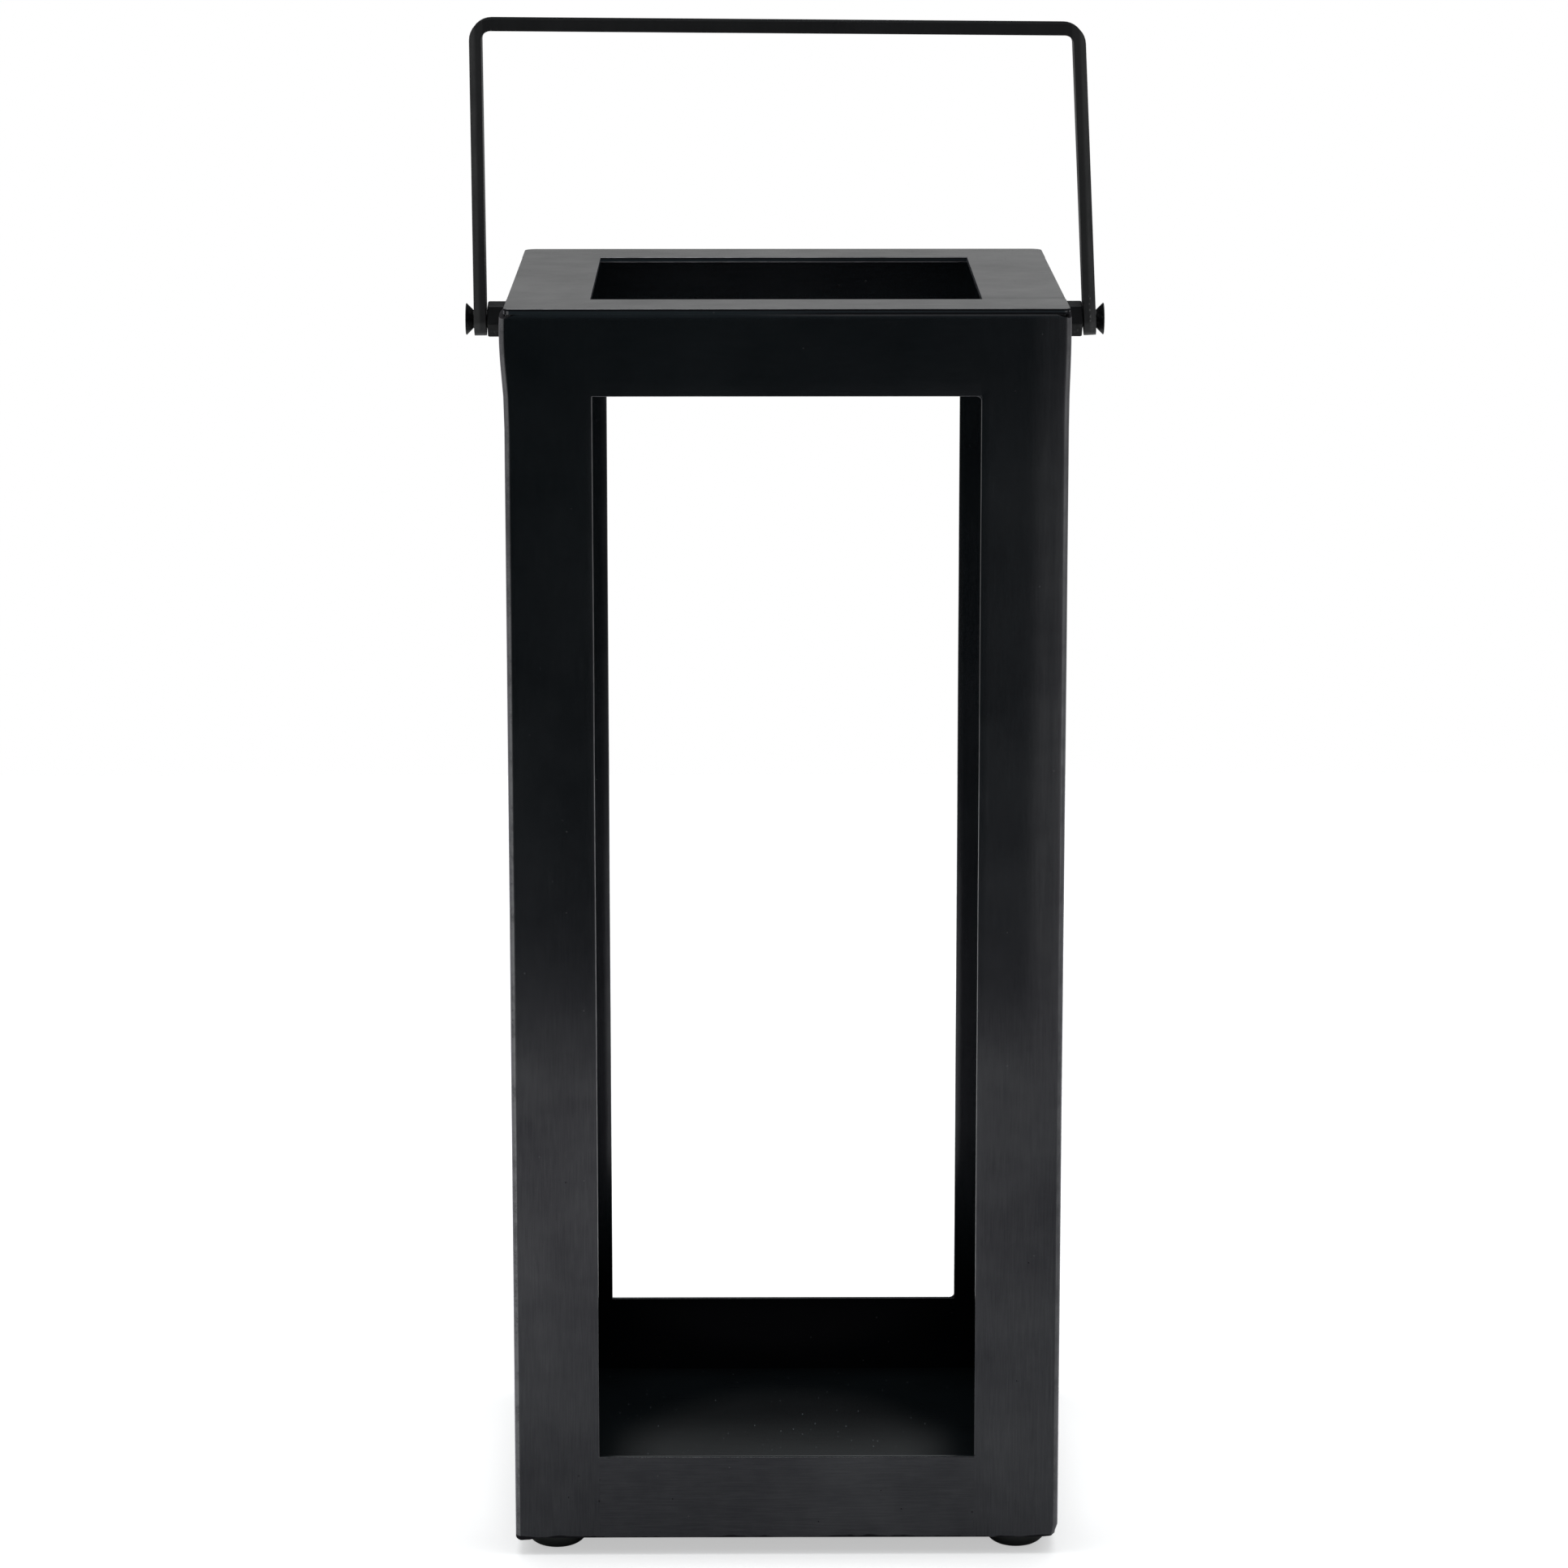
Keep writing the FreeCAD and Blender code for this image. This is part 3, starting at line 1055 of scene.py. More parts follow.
@dataclass
class SheetFrame:
    """The welded frame: posts, rails and the top's strips."""

    waves: Waves
    sheet: float = 1.8 * MM
    bend_outer: float = 2.2 * MM
    bend_inner: float = 0.4 * MM
    bend_facets: int = 6
    end_facing: float = 0.9
    broken_edge: float = 0.35 * MM
    cut_edge: float = 0.22 * MM
    edge_facets: int = 2
    wander: float = 0.10 * MM
    row: float = 11.0 * MM
    strip_round: float = 0.5 * MM
    strip_facets: int = 4
    ground_foot: float = 0.1
    ground_sides: float = 0.8
    ground_least: float = 0.6
    ground_until: float = -30.0 * MM
    square_from: float = 40.0 * MM
    joint_rows: tuple[float, ...] = (0.8 * MM, 2.0 * MM, 4.0 * MM, 7.0 * MM)
    joint_reach: Triple = (60.0 * MM, 8.0 * MM, 1.2 * MM)
    joint_dip: float = 0.16 * MM
    finishes: dict[Axis, bpy.types.Material] = field(init=False)
    top_finish: bpy.types.Material = field(init=False)
    sill: float = field(init=False)
    lintel: float = field(init=False)

    top_pits: ClassVar[Dots] = Dots(290.0, 0.085, 0.16)
    strip_corners: ClassVar[dict[End, float]] = {End.FRONT: 2.5 * MM, End.BACK: 4.0 * MM}
    turns: ClassVar[dict[End | Side, float]] = {
        End.FRONT: 0.0,
        Side.RIGHT: math.pi / 2,
        End.BACK: math.pi,
        Side.LEFT: -math.pi / 2,
    }
    # For each post: its front face falls back towards the bend, the bend is hammered open under the top,
    # its upper corner is sunk, and its lower corner has a burr on the left and is knocked in on the right.
    dents: ClassVar[dict[Side, tuple[Dent, ...]]] = {
        Side.LEFT: (
            Dent(0.5, (0.0, 0.0, 0.0), (12.0, 12.0, 1000.0), (0.0, 0.06, 0.0)),
            Dent(1.0, (0.0, 0.0, -6.0), (20.0, 34.0, 27.0), (-1.5, 0.0, 0.0)),
            Dent(1.0, (0.0, 0.0, 0.0), (4.5, 6.0, 1.5), (0.0, 0.0, -1.3)),
            Dent(0.0, (3.0, 0.0, 0.0), (5.0, 3.0, 2.0), (0.0, 0.0, -0.9)),
        ),
        Side.RIGHT: (
            Dent(0.5, (0.0, 0.0, 0.0), (12.0, 12.0, 1000.0), (0.0, 0.28, 0.0)),
            Dent(1.0, (0.0, 0.0, -6.0), (20.0, 34.0, 27.0), (0.5, 0.0, 0.0)),
            Dent(1.0, (0.0, 0.0, 0.0), (4.5, 6.0, 1.5), (0.0, 0.0, -1.3)),
            Dent(0.0, (0.0, 0.0, 0.0), (3.0, 14.0, 4.0), (-0.9, 0.0, 1.0)),
        ),
    }

    def __post_init__(self) -> None:
        """Makes one finish for each way of the brushing and reads the window's heights."""
        rim, top = (edge.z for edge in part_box("front_top_strip"))
        self.finishes = {}
        for axis in Axis:
            name = f"brushed_black_{axis.name.lower()}"
            self.finishes[axis] = BrushedSteel(name, axis, rim, raw_ends=axis is Axis.Z).material()
        scarred = BrushedSteel(
            "brushed_black_top", Axis.X, rim, cut_top=top, stray_pits=self.top_pits, scars=1.0
        )
        self.top_finish = scarred.material()
        self.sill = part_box("front_bottom_rail")[1].z
        self.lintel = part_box("front_top_rail")[0].z

    def build(self) -> None:
        """Builds every sheet piece."""
        self.posts()
        for level in Level:
            self.rails(level)
        for end in End:
            self.long_strip(end)
        for side in Side:
            self.short_strip(side)

    def posts(self) -> None:
        """The four corner posts, from one angle that is mirrored to each corner."""
        blank = self.angle()
        for end, depth in zip(End, (1.0, -1.0)):
            for side, across in zip(Side, (1.0, -1.0)):
                node = f"{end}_{side}_post"
                bench = blank.copy(f"{node}_sheet", Matrix.Diagonal((across, depth, 1.0, 1.0)))
                self.let_wander(bench, Vector((across, depth, 0.0)))
                if end is End.FRONT:
                    self.wear(bench, side)
                bench.dress(FRAME_BODY, Slot.FRAME, self.finishes[Axis.Z], node)
        blank.discard()

    def angle(self) -> Bench:
        """The front left post before it is worn: an angle with a rounded bend.

        Returns:
            The angle on the bench.
        """
        low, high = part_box("front_left_post")
        inner = low + Vector((self.sheet, self.sheet, 0.0))
        leg = high.x - low.x
        bench = Bench.block("post_blank", low, Vector((inner.x, inner.y, high.z)))

        def leg_end(middle: Vector, way: Vector, along: Axis, across: Axis) -> bool:
            """Whether a face ends one leg of the angle."""
            return way[along.value] > self.end_facing and middle[across.value] < inner[across.value]

        for along, across in ((Axis.X, Axis.Y), (Axis.Y, Axis.X)):
            bench.pull(
                lambda middle, way: leg_end(middle, way, along, across), along.vector * (leg - self.sheet)
            )
        bench.merge_flat()
        for corner, width, facets in (
            (low, self.bend_outer, self.bend_facets),
            (inner, self.bend_inner, self.edge_facets),
        ):
            bench.bevel(
                lambda a, b: lies(a, b, Axis.X, corner.x) and lies(a, b, Axis.Y, corner.y), width, facets
            )
        window = [self.sill] + spaced(self.sill, self.lintel, self.row) + [self.lintel]
        foot = [low.z + rise for rise in self.joint_rows]
        bench.slice(Axis.Z, foot + spaced(foot[-1], self.sill, self.row) + window)
        bench.slice(Axis.Z, spaced(self.lintel, high.z, self.row / 3))
        for axis in (Axis.X, Axis.Y):
            bench.slice(axis, spaced(low[axis.value] + self.bend_outer, high[axis.value], self.row / 4))

        def at_window(a: Vector, b: Vector) -> bool:
            """Whether an edge runs up a window's side."""
            upright = square_to(a, b, Axis.X) and square_to(a, b, Axis.Y)
            at_tip = close(a.x, high.x) or close(a.y, high.y)
            return upright and at_tip and self.in_window(a.z) and self.in_window(b.z)

        def at_foot(a: Vector, b: Vector) -> bool:
            """Whether an edge runs along the foot of an outer face."""
            outside = lies(a, b, Axis.X, low.x) or lies(a, b, Axis.Y, low.y)
            return outside and lies(a, b, Axis.Z, low.z)

        bench.bevel(at_window, self.broken_edge, self.edge_facets)
        bench.bevel(at_foot, self.cut_edge, self.edge_facets)
        return bench

    def in_window(self, z: float) -> bool:
        """Whether a height lies between the rails."""
        return self.sill - NEAR < z < self.lintel + NEAR

    def wear(self, bench: Bench, side: Side) -> None:
        """Wears a front post by its dents.

        Args:
            bench: The post.
            side: Which of the two it is.
        """
        low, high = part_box(f"front_{side}_post")
        outer = low.x if side is Side.LEFT else high.x
        for dent in self.dents[side]:
            corner = Vector((outer, low.y, low.z + (high.z - low.z) * dent.rise))
            offset, reach, move = (Vector(part) * MM for part in (dent.offset, dent.reach, dent.move))
            bench.nudge(corner + offset, reach, move)

    def let_wander(self, bench: Bench, way: Vector) -> None:
        """Moves a piece of the walls inwards by the shared waves.

        Args:
            bench: The piece.
            way: The inward signs on X and Y.
        """
        for axis in (Axis.X, Axis.Y):
            if way[axis.value]:
                bench.ripple(axis, self.wander * way[axis.value], self.waves)

    def rails(self, level: Level) -> None:
        """Four flat rails between the posts, from one that is turned to each side.

        Args:
            level: Their height.
        """
        blank = self.flat_rail(level)
        for where, turn in self.turns.items():
            node = f"{where}_{level}_rail"
            placed = Matrix.Rotation(turn, 4, "Z")
            bench = blank.copy(f"{node}_sheet", placed)
            self.let_wander(bench, (placed @ Axis.Y.vector).to_3d())
            run = Axis.X if isinstance(where, End) else Axis.Y
            bench.dress(FRAME_BODY, Slot.FRAME, self.finishes[run], node)
        blank.discard()

    def flat_rail(self, level: Level) -> Bench:
        """The front rail of one level.

        Args:
            level: Its height.

        Returns:
            The rail on the bench.
        """
        low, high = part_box(f"front_{level}_rail")
        bench = Bench.block("rail_blank", low, high)
        for axis in (Axis.X, Axis.Z):
            bench.slice(axis, spaced(low[axis.value], high[axis.value], self.row / 2))

        def along(a: Vector, b: Vector, height: float) -> bool:
            """Whether an edge runs the length of the rail at a height."""
            return lies(a, b, Axis.Z, height) and not square_to(a, b, Axis.X)

        window = high.z if level is Level.BOTTOM else low.z
        bench.bevel(lambda a, b: along(a, b, window), self.broken_edge, self.edge_facets)
        if level is Level.BOTTOM:
            bench.bevel(
                lambda a, b: along(a, b, low.z) and lies(a, b, Axis.Y, low.y), self.cut_edge, self.edge_facets
            )
        return bench

    def long_strip(self, end: End) -> None:
        """The front or back strip of the top, ground round along its outer edge.

        Args:
            end: Which of the two it is.
        """
        node = f"{end}_top_strip"
        low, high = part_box(node)
        outer, inner = (low.y, high.y) if end is End.FRONT else (high.y, low.y)
        opening = (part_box("left_top_strip")[1].x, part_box("right_top_strip")[0].x)
        corner = self.strip_corners[end]
        bench = Bench.block(f"{node}_sheet", low, high)
        bench.bevel(
            lambda a, b: lies(a, b, Axis.Y, outer) and square_to(a, b, Axis.X), corner, self.bend_facets
        )
        bench.slice(Axis.X, spaced(low.x + corner, high.x - corner, self.row))
        bench.slice(Axis.X, opening)

        def beside_opening(a: Vector, b: Vector) -> bool:
            """Whether an edge runs along the opening."""
            inside = all(opening[0] - NEAR < point.x < opening[1] + NEAR for point in (a, b))
            return inside and lies(a, b, Axis.Y, inner) and not square_to(a, b, Axis.X)

        bench.bevel(beside_opening, self.broken_edge, self.edge_facets)

        def ground(a: Vector, b: Vector) -> float:
            """How far an outer edge is ground round: more at the front left, less at the front right.

            Args:
                a: One end of the edge.
                b: Its other end.

            Returns:
                The share of the whole width.
            """
            across = square_to(a, b, Axis.X) and not close(abs(a.x), high.x)
            if not square_to(a, b, Axis.Z) or across or lies(a, b, Axis.Y, inner):
                return 0.0
            if close(a.z, low.z):
                return self.ground_foot
            if not lies(a, b, Axis.Y, low.y):
                return self.ground_sides
            middle = (a.x + b.x) / 2
            share = (middle - self.ground_until) / (self.square_from - self.ground_until)
            return 1.0 - (1.0 - self.ground_least) * min(1.0, max(0.0, share))

        bench.grind(ground, self.strip_round, self.strip_facets)
        bench.dress(FRAME_BODY, Slot.FRAME, self.top_finish, node)

    def short_strip(self, side: Side) -> None:
        """A side strip of the top, between the long ones. The right one dips to its hollow-ground joint.

        Args:
            side: Which of the two it is.
        """
        node = f"{side}_top_strip"
        low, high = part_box(node)
        outer, inner = (low.x, high.x) if side is Side.LEFT else (high.x, low.x)
        bench = Bench.block(f"{node}_sheet", low, high)
        bench.slice(Axis.Y, [low.y + step for step in self.joint_rows])
        bench.slice(Axis.Y, spaced(low.y + self.joint_rows[-1], high.y, self.row))

        def along(a: Vector, b: Vector, place: float) -> bool:
            """Whether an edge runs the length of the strip at a place across it."""
            return lies(a, b, Axis.X, place) and square_to(a, b, Axis.Z) and not square_to(a, b, Axis.Y)

        width = self.strip_round * self.ground_sides
        bench.bevel(lambda a, b: along(a, b, outer) and close(a.z, high.z), width, self.strip_facets)
        bench.bevel(lambda a, b: along(a, b, inner), self.broken_edge, self.edge_facets)
        if side is Side.RIGHT:
            joint = Vector(((low.x + high.x) / 2, low.y, high.z))
            bench.nudge(joint, Vector(self.joint_reach), Axis.Z.vector * -self.joint_dip)
        bench.dress(FRAME_BODY, Slot.FRAME, self.top_finish, node)


@dataclass
class FloorPlate:
    """The floor inside the foot of the frame."""

    waves: Waves
    row: float = 14.0 * MM
    bow: float = 0.15 * MM
    broken_edge: float = 0.2 * MM
    edge_facets: int = 2

    def build(self) -> None:
        """Builds the plate, bowed a little by its welds."""
        low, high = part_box("base_plate")
        bench = Bench.block("base_plate_sheet", low, high)
        bench.bevel(lambda a, b: lies(a, b, Axis.Z, high.z), self.broken_edge, self.edge_facets)
        for axis in (Axis.X, Axis.Y):
            bench.slice(axis, spaced(low[axis.value], high[axis.value], self.row))
        bench.ripple(Axis.Z, self.bow, self.waves)
        bench.dress(FRAME_BODY, Slot.FLOOR, FloorSteel().material(), "base_plate")


@dataclass
class CornerWelds:
    """Weld left in two window corners, ground to a small hollow round."""

    finish: bpy.types.Material
    radius: float = 1.7 * MM
    sheet: float = 1.8 * MM
    sink: float = 0.3 * MM
    broken_edge: float = 0.25 * MM
    edge_facets: int = 2
    sides: int = 48

    def build(self) -> None:
        """Builds both welds, at the upper right of the front window and the lower right of the back one."""
        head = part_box("front_top_rail")
        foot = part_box("back_bottom_rail")
        self.weld("front_window_corner_weld", Vector((head[1].x, head[0].y, head[0].z)), (-1, 1, -1))
        self.weld("back_window_corner_weld", foot[1], (-1, -1, 1))

    def weld(self, name: str, corner: Vector, way: tuple[int, int, int]) -> None:
        """One weld, a block with a round cut out of it.

        Args:
            name: The piece's name.
            corner: The window's corner on the outer face.
            way: The signs that lead from the corner into the window and the sheet.
        """
        signs = Vector(way)
        start = corner + signs * Vector((-self.sink, self.sink, -self.sink))
        end = corner + signs * Vector((self.radius, self.sheet - self.sink, self.radius))
        middle = corner + signs * Vector((self.radius, self.sheet / 2, self.radius))
        bench = Bench.block(name, start, end)
        Bench.clear()
        bpy.ops.mesh.primitive_cylinder_add(
            vertices=self.sides,
            radius=self.radius,
            depth=4 * self.sheet,
            location=middle,
            rotation=(math.pi / 2, 0, 0),
        )
        bench.carve(Bench.take("weld_cutter"))
        bench.break_edges(self.broken_edge, self.edge_facets)
        bench.dress(FRAME_BODY, Slot.FRAME, self.finish)


@dataclass
class Feet:
    """Four moulded rubber feet."""

    flat: float = 4.5 * MM
    rim: float = 1.2 * MM
    lip: float = 0.3 * MM
    sides: int = 64
    rings: int = 9

    def build(self) -> None:
        """Moulds one foot and copies it to the four corners."""
        finish = FootRubber().material()
        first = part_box("front_left_foot")[0]
        blank = self.dome()
        for end in End:
            for side in Side:
                node = f"{end}_{side}_foot"
                move = Matrix.Translation(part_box(node)[0] - first)
                blank.copy(f"{node}_dome", move).dress(FRAME_BODY, Slot.FOOT, finish, node)
        blank.discard()

    def dome(self) -> Bench:
        """The front left foot, drawn down ring by ring from its seat.

        Returns:
            The foot on the bench.
        """
        low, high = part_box("front_left_foot")
        centre = (low + high) / 2
        radius = (high.x - low.x) / 2
        height, width = high.z, radius - self.lip
        Bench.clear()
        bpy.ops.mesh.primitive_circle_add(
            vertices=self.sides, radius=width, fill_type="NGON", location=(centre.x, centre.y, height)
        )
        bench = Bench.take("foot_blank")
        for next_height, next_width in self.profile(low.z, high.z, radius):
            scale = next_width / width
            bench.pull(
                lambda middle, _: close(middle.z, height),
                Axis.Z.vector * (next_height - height),
                (scale, scale, 1.0),
            )
            height, width = next_height, next_width
        return bench

    def profile(self, bottom: float, top: float, radius: float) -> list[tuple[float, float]]:
        """Heights and radii of the rings below the seat: a lip, the rim, the dome and its flat.

        Args:
            bottom: The height of the standing flat.
            top: The height of the seat.
            radius: The foot's radius.

        Returns:
            A height and a radius for each ring.
        """
        rim = top - self.rim - bottom
        reach = radius - self.flat
        dome = (reach**2 + rim**2) / (2 * rim)
        turn = math.atan2(reach, dome - rim)
        rings = [(top - self.lip, radius), (bottom + rim + self.lip, radius)]
        for i in range(self.rings, -1, -1):
            angle = turn * i / self.rings
            rings.append((bottom + dome * (1 - math.cos(angle)), self.flat + dome * math.sin(angle)))
        return rings


@dataclass
class Pivots:
    """The hexagonal spacers and the countersunk screws that the handle turns on."""

    turn: float = math.radians(11.0)
    long_edge: float = 0.25 * MM
    chamfer: float = 0.5 * MM
    edge_facets: int = 2
    shank: float = 3.0 * MM
    bore: float = 3.05 * MM
    end_facing: float = 0.999
    cone_length: float = 0.94
    cone_width: float = 0.975
    crown: float = 0.2 * MM
    crown_steps: tuple[Step, ...] = ((0.6, 0.955), (0.4, 0.7))
    rim: float = 0.2 * MM
    recess_span: float = 5.6 * MM
    recess_width: float = 1.2 * MM
    recess_depth: float = 1.5 * MM
    sides: int = 64
    flecks: Dots = Dots(330.0, 0.12, 0.2)

    def build(self) -> None:
        """Builds the right pivot and mirrors it to the left."""
        coat = SatinCoat("pivot_coat", roughness=0.44, edge_wear=0.35, flecks=self.flecks, sheen=0.22)
        finish = coat.material()
        blanks = {"right_hex_spacer": self.spacer(), "right_pivot_screw": self.screw()}
        for node, blank in blanks.items():
            for side, across in zip(Side, (-1.0, 1.0)):
                name = node.replace(Side.RIGHT, side)
                bench = blank.copy(f"{name}_turned", Matrix.Diagonal((across, 1.0, 1.0, 1.0)))
                bench.dress(FRAME_BODY, Slot.PIVOT, finish, name)
            blank.discard()

    def spacer(self) -> Bench:
        """The right spacer: a bored hexagon with broken edges and a chamfered end.

        Returns:
            The spacer on the bench.
        """
        low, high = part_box("right_hex_spacer")
        centre = (low + high) / 2
        length = high.x - low.x
        radius = (high.y - low.y) / 2 / math.cos(self.turn)
        start = Vector((low.x, centre.y, centre.z))
        bench = Bench.rod("spacer_blank", 6, radius, start, length, self.turn)
        bench.bevel(lambda a, b: abs(a.x - b.x) > length / 2, self.long_edge, self.edge_facets)
        bench.bevel(lambda a, b: lies(a, b, Axis.X, high.x), self.chamfer, self.edge_facets)
        drill = Bench.rod("bore_cutter", self.sides, self.bore, start - Axis.X.vector * length, 3 * length)
        bench.carve(drill)
        return bench

    def screw(self) -> Bench:
        """The right screw: a shank, a cone, a thin rim and a low crown with a cross recess.

        Returns:
            The screw on the bench.
        """
        low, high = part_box("right_pivot_screw")
        centre = (low + high) / 2
        radius = (high.z - low.z) / 2
        cone = radius - self.shank
        neck = high.x - self.crown - self.rim - cone
        start = Vector((low.x, centre.y, centre.z))
        bench = Bench.rod("screw_blank", self.sides, self.shank, start, neck - low.x)
        steps = [
            (cone * self.cone_length, self.cone_width * radius / self.shank),
            (cone * (1.0 - self.cone_length), 1.0 / self.cone_width),
            (self.rim, 1.0),
            *((self.crown * share, scale) for share, scale in self.crown_steps),
        ]
        for length, scale in steps:
            bench.pull(lambda _, way: way.x > self.end_facing, Axis.X.vector * length, (1.0, scale, scale))
        middle = Vector((high.x, centre.y, centre.z))
        for wide, tall in ((self.recess_span, self.recess_width), (self.recess_width, self.recess_span)):
            half = Vector((self.recess_depth, wide / 2, tall / 2))
            bench.carve(Bench.block("recess_cutter", middle - half, middle + half))
        return bench


@dataclass
class CarryHandle:
    """The flat bar handle: two leaning legs, two bends and a bar."""

    thickness: float = 4.0 * MM
    edge_radius: float = 1.45 * MM
    edge_facets: int = 5
    bend_radius: float = 5.0 * MM
    bend_steps: int = 8
    left_rise: float = 99.6 * MM
    right_rise: float = 98.0 * MM
    left_lean: float = 0.6 * MM
    right_lean: float = -4.6 * MM
    row: float = 9.0 * MM
    eye_radius: float = 3.06 * MM
    eye_sides: int = 48
    end_steps: int = 8
    tip_width: float = 0.06
    tip_merge: float = 0.03 * MM
    flecks: Dots = Dots(330.0, 0.12, 0.08)
    width: float = field(init=False)
    pivot: float = field(init=False)

    def build(self) -> None:
        """Builds the handle from the left eye over the bar to the right eye."""
        low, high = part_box("carry_handle")
        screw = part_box("left_pivot_screw")
        self.width = high.y - low.y
        self.pivot = (screw[0] + screw[1]).z / 2
        below_eye = self.width / 2 * self.right_lean / self.right_rise
        leg = high.x - self.thickness / 2 + below_eye
        bench = self.bar(leg)
        bench.break_edges(self.edge_radius, self.edge_facets)
        bench.merge(self.tip_merge)
        for sign in (-1.0, 1.0):
            start = Vector((sign * leg - 2 * self.thickness, 0.0, self.pivot))
            bench.carve(Bench.rod("eye_cutter", self.eye_sides, self.eye_radius, start, 4 * self.thickness))
        coat = HandleCoat(
            "handle_coat",
            roughness=0.42,
            edge_wear=0.12,
            flecks=self.flecks,
            sheen=0.38,
            dull_top=True,
            leg=leg,
            pivot=self.pivot,
            left_slope=self.left_lean / self.left_rise,
            right_slope=self.right_lean / self.right_rise,
        )
        bench.dress(HANDLE_BODY, Slot.HANDLE, coat.material(), "carry_handle")

    def bar(self, leg: float) -> Bench:
        """The bent bar with its round ends, still square-edged.

        Args:
            leg: The distance from the middle to a leg's centre at its pivot.

        Returns:
            The bar on the bench.
        """
        half = self.thickness / 2
        corners = [
            Vector((-leg, 0.0, self.pivot)),
            Vector((-leg - self.left_lean, 0.0, self.pivot + self.left_rise - half)),
            Vector((leg + self.right_lean, 0.0, self.pivot + self.right_rise - half)),
            Vector((leg, 0.0, self.pivot)),
        ]
        ways = [(after - before).normalized() for before, after in zip(corners, corners[1:])]
        tilt = math.atan2(ways[0].x, ways[0].z)
        Bench.clear()
        bpy.ops.mesh.primitive_plane_add(size=1.0, location=corners[0], rotation=(0.0, tilt, 0.0))
        bpy.context.object.scale = (self.thickness, self.width, 1.0)
        bench = Bench.take("carry_handle_bar")
        bench.edit_all()
        start = corners[0]
        for corner, before, after in zip(corners[1:], ways, ways[1:]):
            turn = before.angle(after)
            setback = self.bend_radius * math.tan(turn / 2)
            self.draw(corner - before * setback - start)
            inward = (after - before * before.dot(after)).normalized()
            centre = corner - before * setback + inward * self.bend_radius
            bpy.ops.mesh.spin(steps=self.bend_steps, angle=-turn, center=centre, axis=Axis.Y.vector)
            start = corner + after * setback
        self.draw(corners[-1] - start)
        self.round_end(ways[-1])
        level = self.pivot + self.thickness * abs(math.sin(tilt)) + NEAR
        bench.select(Kind.EDGE, lambda a, b: max(a.x, b.x) < 0.0 and max(a.z, b.z) < level)
        bpy.ops.mesh.edge_face_add()
        self.round_end(-ways[0])
        bench.clear()
        return bench

    def draw(self, move: Vector) -> None:
        """Draws the selected end along a straight run, in rows.

        Args:
            move: The whole run.
        """
        rows = max(1, round(move.length / self.row))
        for _ in range(rows):
            Bench.extrude(move / rows)

    def round_end(self, way: Vector) -> None:
        """Draws the selected end out to a half round about the eye.

        Args:
            way: The direction that the leg ends in.
        """
        radius = self.width / 2
        width, reach = 1.0, 0.0
        for step in range(1, self.end_steps + 1):
            angle = math.pi / 2 * step / self.end_steps
            next_width = max(math.cos(angle), self.tip_width)
            next_reach = math.sin(angle) * radius
            Bench.extrude(way * (next_reach - reach), (1.0, next_width / width, 1.0))
            width, reach = next_width, next_reach


@dataclass(frozen=True)
class Room:
    """White to the eye. To the object a pale backdrop low round it and a dim room below and above.

    The first values are strengths, the others steps along the X, Y or Z of a direction.
    """

    backdrop: float = 0.29
    backdrop_top: float = 0.02
    sides: float = 0.45
    floor: float = 0.12
    fill: float = 1.0
    top: float = 0.5
    dark: float = 0.012
    cool: Colour = (0.95, 1.0, 1.03)
    behind: Step = (-0.35, 0.25)
    brighter_right: Step = (-0.12, 0.12)
    backdrop_height: Step = (0.62, 0.04)
    sides_across: Step = (0.30, 0.85)
    sides_height: Step = (-0.45, -0.25)
    floor_height: Step = (-0.10, -0.20)
    front_foot: Step = (0.08, 0.26)
    front_head: Step = (0.62, 0.34)
    fill_across: Step = (0.05, 0.15)
    fill_foot: Step = (-0.34, -0.20)
    fill_head: Step = (-0.09, -0.19)
    top_height: Step = (0.55, 0.95)
    cool_height: Step = (0.20, 0.30)

    def build(self) -> None:
        """Makes the world."""
        world = bpy.data.worlds.new("studio")
        bpy.context.scene.world = world
        graph = Graph(world)
        way = graph.node("ShaderNodeTexCoord", output="Generated")
        across, depth, height = (graph.part(way, axis) for axis in Axis)
        behind = depth.ease(*self.behind)
        ahead = 1.0 - behind
        tilt = 0.9 + across.ease(*self.brighter_right) * 0.2
        backdrop = behind * tilt * (self.backdrop_top + height.ease(*self.backdrop_height) * self.backdrop)
        sides = abs(across).ease(*self.sides_across) * height.ease(*self.sides_height) * self.sides
        front = ahead * height.ease(*self.front_foot) * height.ease(*self.front_head) * self.backdrop
        above = height.ease(*self.top_height) * self.top
        floor = ahead * height.ease(*self.floor_height) * self.floor
        band = height.ease(*self.fill_foot) * height.ease(*self.fill_head)
        fill = ahead * across.ease(*self.fill_across) * band * self.fill
        level = backdrop.highest(sides).highest(above).highest(front) + floor + fill + self.dark
        shown = graph.shown
        colour = graph.mix(height.ease(*self.cool_height) * (1.0 - shown), WHITE, self.cool)
        inputs = {"Color": colour, "Strength": level.highest(shown)}
        graph.close(graph.node("ShaderNodeBackground", inputs=inputs))


@dataclass(frozen=True)
class Softbox:
    """One square soft lamp: where it stands, what it points at, its side and its watts."""

    name: str
    place: Triple
    target: Triple
    size: float
    watts: float

    def build(self) -> None:
        """Makes the lamp."""
        light = bpy.data.lights.new(self.name, "AREA")
        light.shape = "SQUARE"
        light.size = self.size
        light.energy = self.watts
        lamp = bpy.data.objects.new(self.name, light)
        bpy.context.scene.collection.objects.link(lamp)
        lamp.location = self.place
        lamp.rotation_euler = (Vector(self.target) - Vector(self.place)).to_track_quat("-Z", "Y").to_euler()


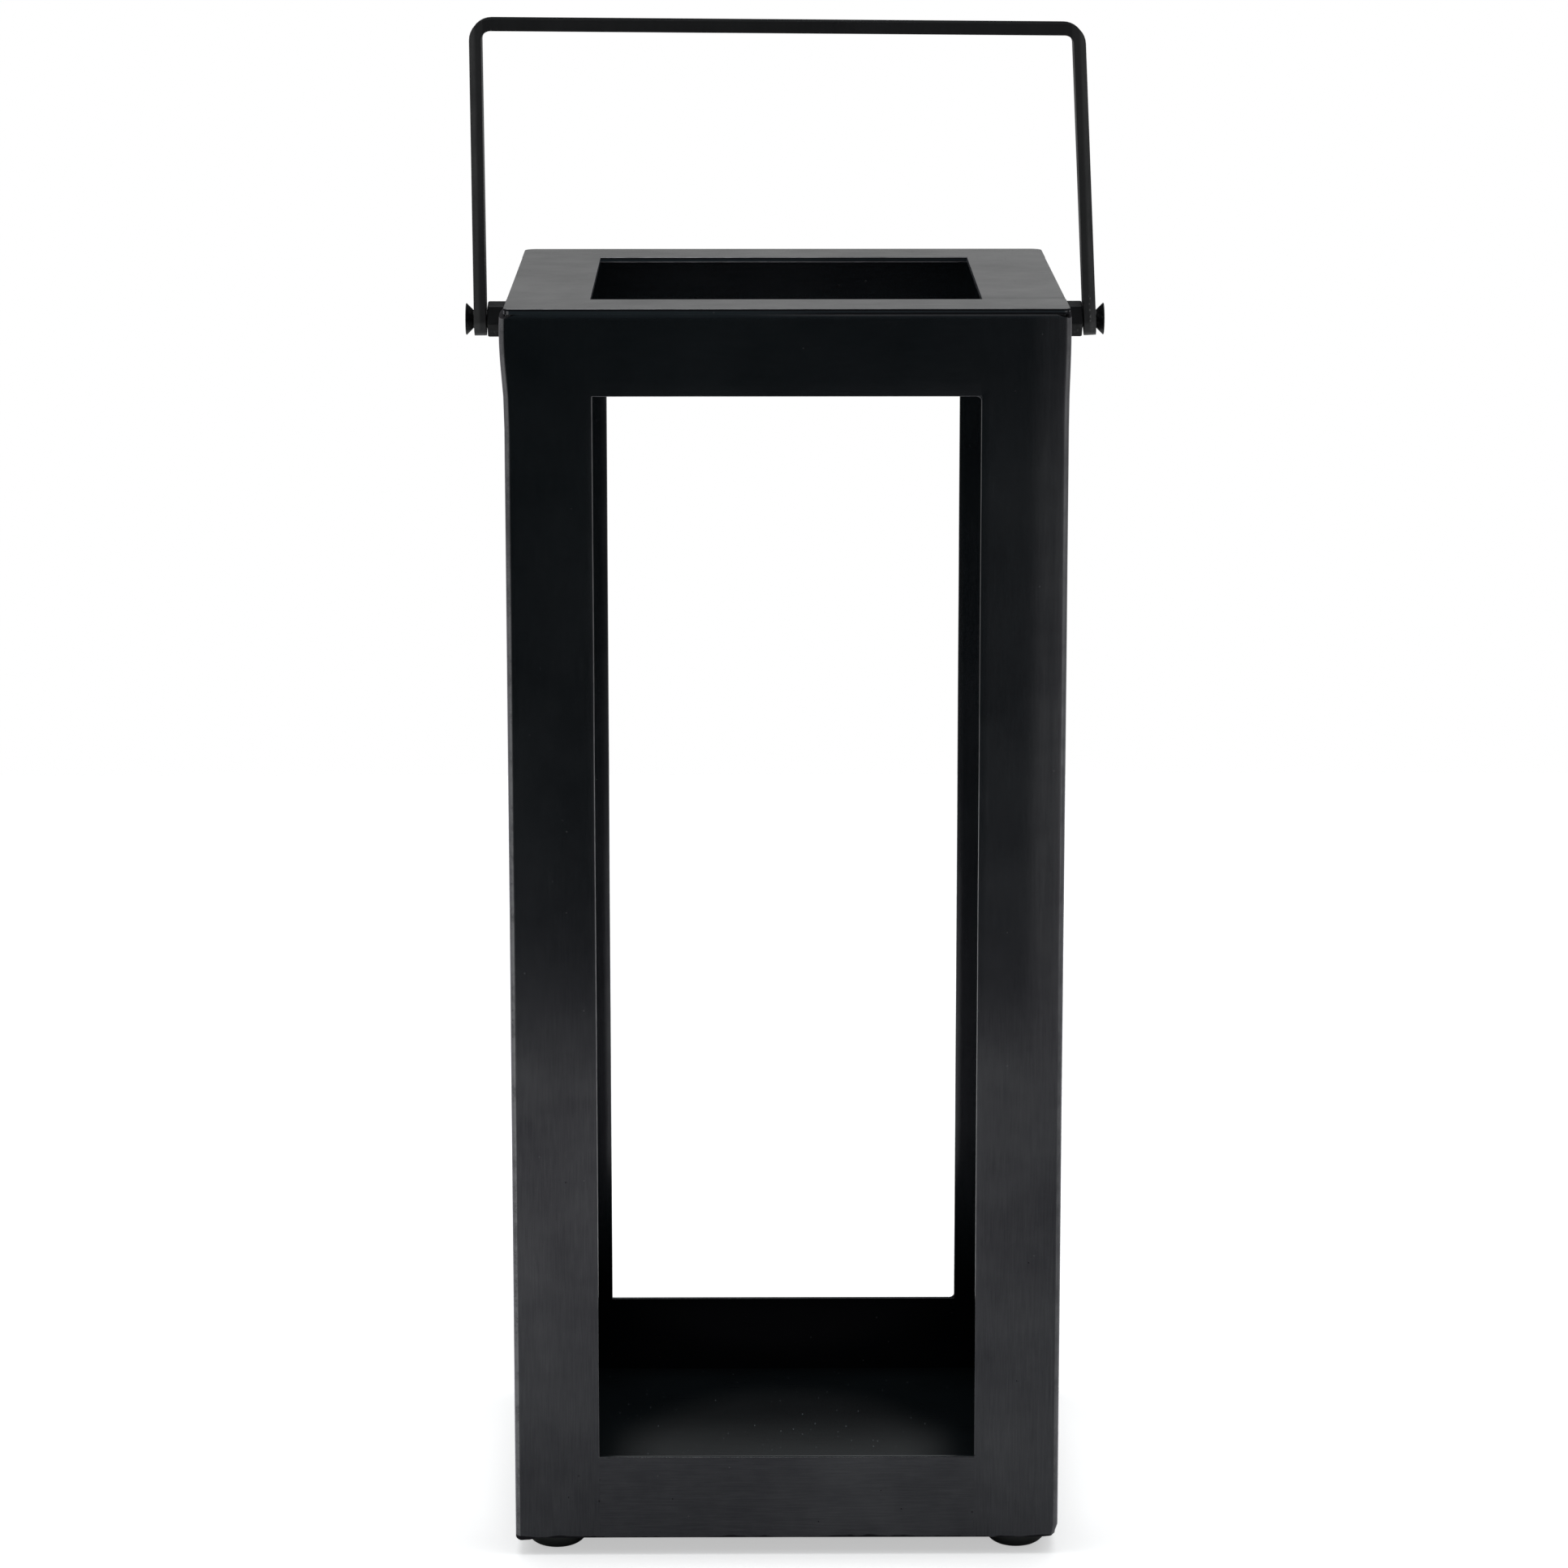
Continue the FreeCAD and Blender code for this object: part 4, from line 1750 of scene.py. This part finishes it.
@dataclass
class Studio:
    """A pale floor, soft light and the camera of the photograph."""

    lens: float = 124.75
    sensor: float = 36.0
    camera_place: Triple = (-0.01215, -1.80558, 0.61582)
    camera_reach: float = 60.0
    pitch: float = 0.20373
    yaw: float = 0.00655
    floor_front: float = 0.78
    floor_side: float = 1.6
    floor_back: float = 1.2
    floor_tones: tuple[Colour, Colour] = ((0.80, 0.80, 0.80), (0.82, 0.82, 0.82))
    floor_lift: float = 0.5
    floor_mirrored: float = 0.45
    mirrored_depth: Step = (-0.10, -0.60)
    shade: float = 0.75
    shade_across: Step = (0.045, 0.075)
    shade_depth: Step = (-0.85, -0.50)
    softboxes: tuple[Softbox, ...] = (
        Softbox("overhead_softbox", (0.0, 0.25, 1.9), (0.0, 0.0, 0.1), 1.6, 20.0),
        Softbox("left_softbox", (-1.5, -0.3, 2.0), (0.0, 0.0, 0.25), 0.9, 5.0),
        Softbox("right_softbox", (1.5, -0.3, 2.0), (0.0, 0.0, 0.25), 0.9, 5.0),
    )

    def build(self) -> None:
        """Sets up floor, room, lamps and camera."""
        bpy.context.scene.view_settings.view_transform = "Standard"
        self.floor()
        Room().build()
        for softbox in self.softboxes:
            softbox.build()
        self.camera()

    def floor(self) -> None:
        """A pale floor that is white to the eye where no shadow falls."""
        Bench.clear()
        depth = self.floor_front + self.floor_back
        place = (0.0, (self.floor_back - self.floor_front) / 2, 0.0)
        bpy.ops.mesh.primitive_plane_add(size=1.0, location=place)
        bpy.context.object.scale = (2 * self.floor_side, depth, 1.0)
        floor = Bench.take("studio_floor").piece
        graph = Graph.named("pale_floor")
        colour = graph.mix(graph.noise(6.0), *self.floor_tones)
        diffuse = graph.node("ShaderNodeBsdfDiffuse", inputs={"Color": colour})
        along = graph.at(Axis.Y)
        shaded = graph.at(Axis.X).ease(*self.shade_across) * along.ease(*self.shade_depth) * self.shade
        mirrored = graph.ray("Glossy") * along.ease(*self.mirrored_depth) * (1.0 - shaded)
        strength = graph.shown * self.floor_lift + mirrored * self.floor_mirrored
        lift = graph.node("ShaderNodeEmission", inputs={"Color": graph.opaque(WHITE), "Strength": strength})
        surface = graph.node("ShaderNodeAddShader", inputs={0: diffuse, 1: lift})
        floor.data.materials.append(graph.close(surface))

    def camera(self) -> None:
        """The photograph's camera, a long lens from a little above."""
        lens = bpy.data.cameras.new("photo_camera")
        lens.lens = self.lens
        lens.sensor_width = self.sensor
        lens.clip_end = self.camera_reach
        camera = bpy.data.objects.new("photo_camera", lens)
        camera.location = self.camera_place
        camera.rotation_euler = (math.pi / 2 - self.pitch, 0.0, -self.yaw)
        bpy.context.scene.collection.objects.link(camera)
        bpy.context.scene.camera = camera


def main() -> None:
    """Builds and dresses the lantern, then the studio round it."""
    logging.basicConfig(level=logging.INFO, format="%(name)s: %(message)s")
    waves = Waves()
    sheet = SheetFrame(waves)
    sheet.build()
    FloorPlate(waves).build()
    CornerWelds(sheet.finishes[Axis.Z]).build()
    Feet().build()
    Pivots().build()
    CarryHandle().build()
    Studio().build()


if __name__ == "__main__":
    main()
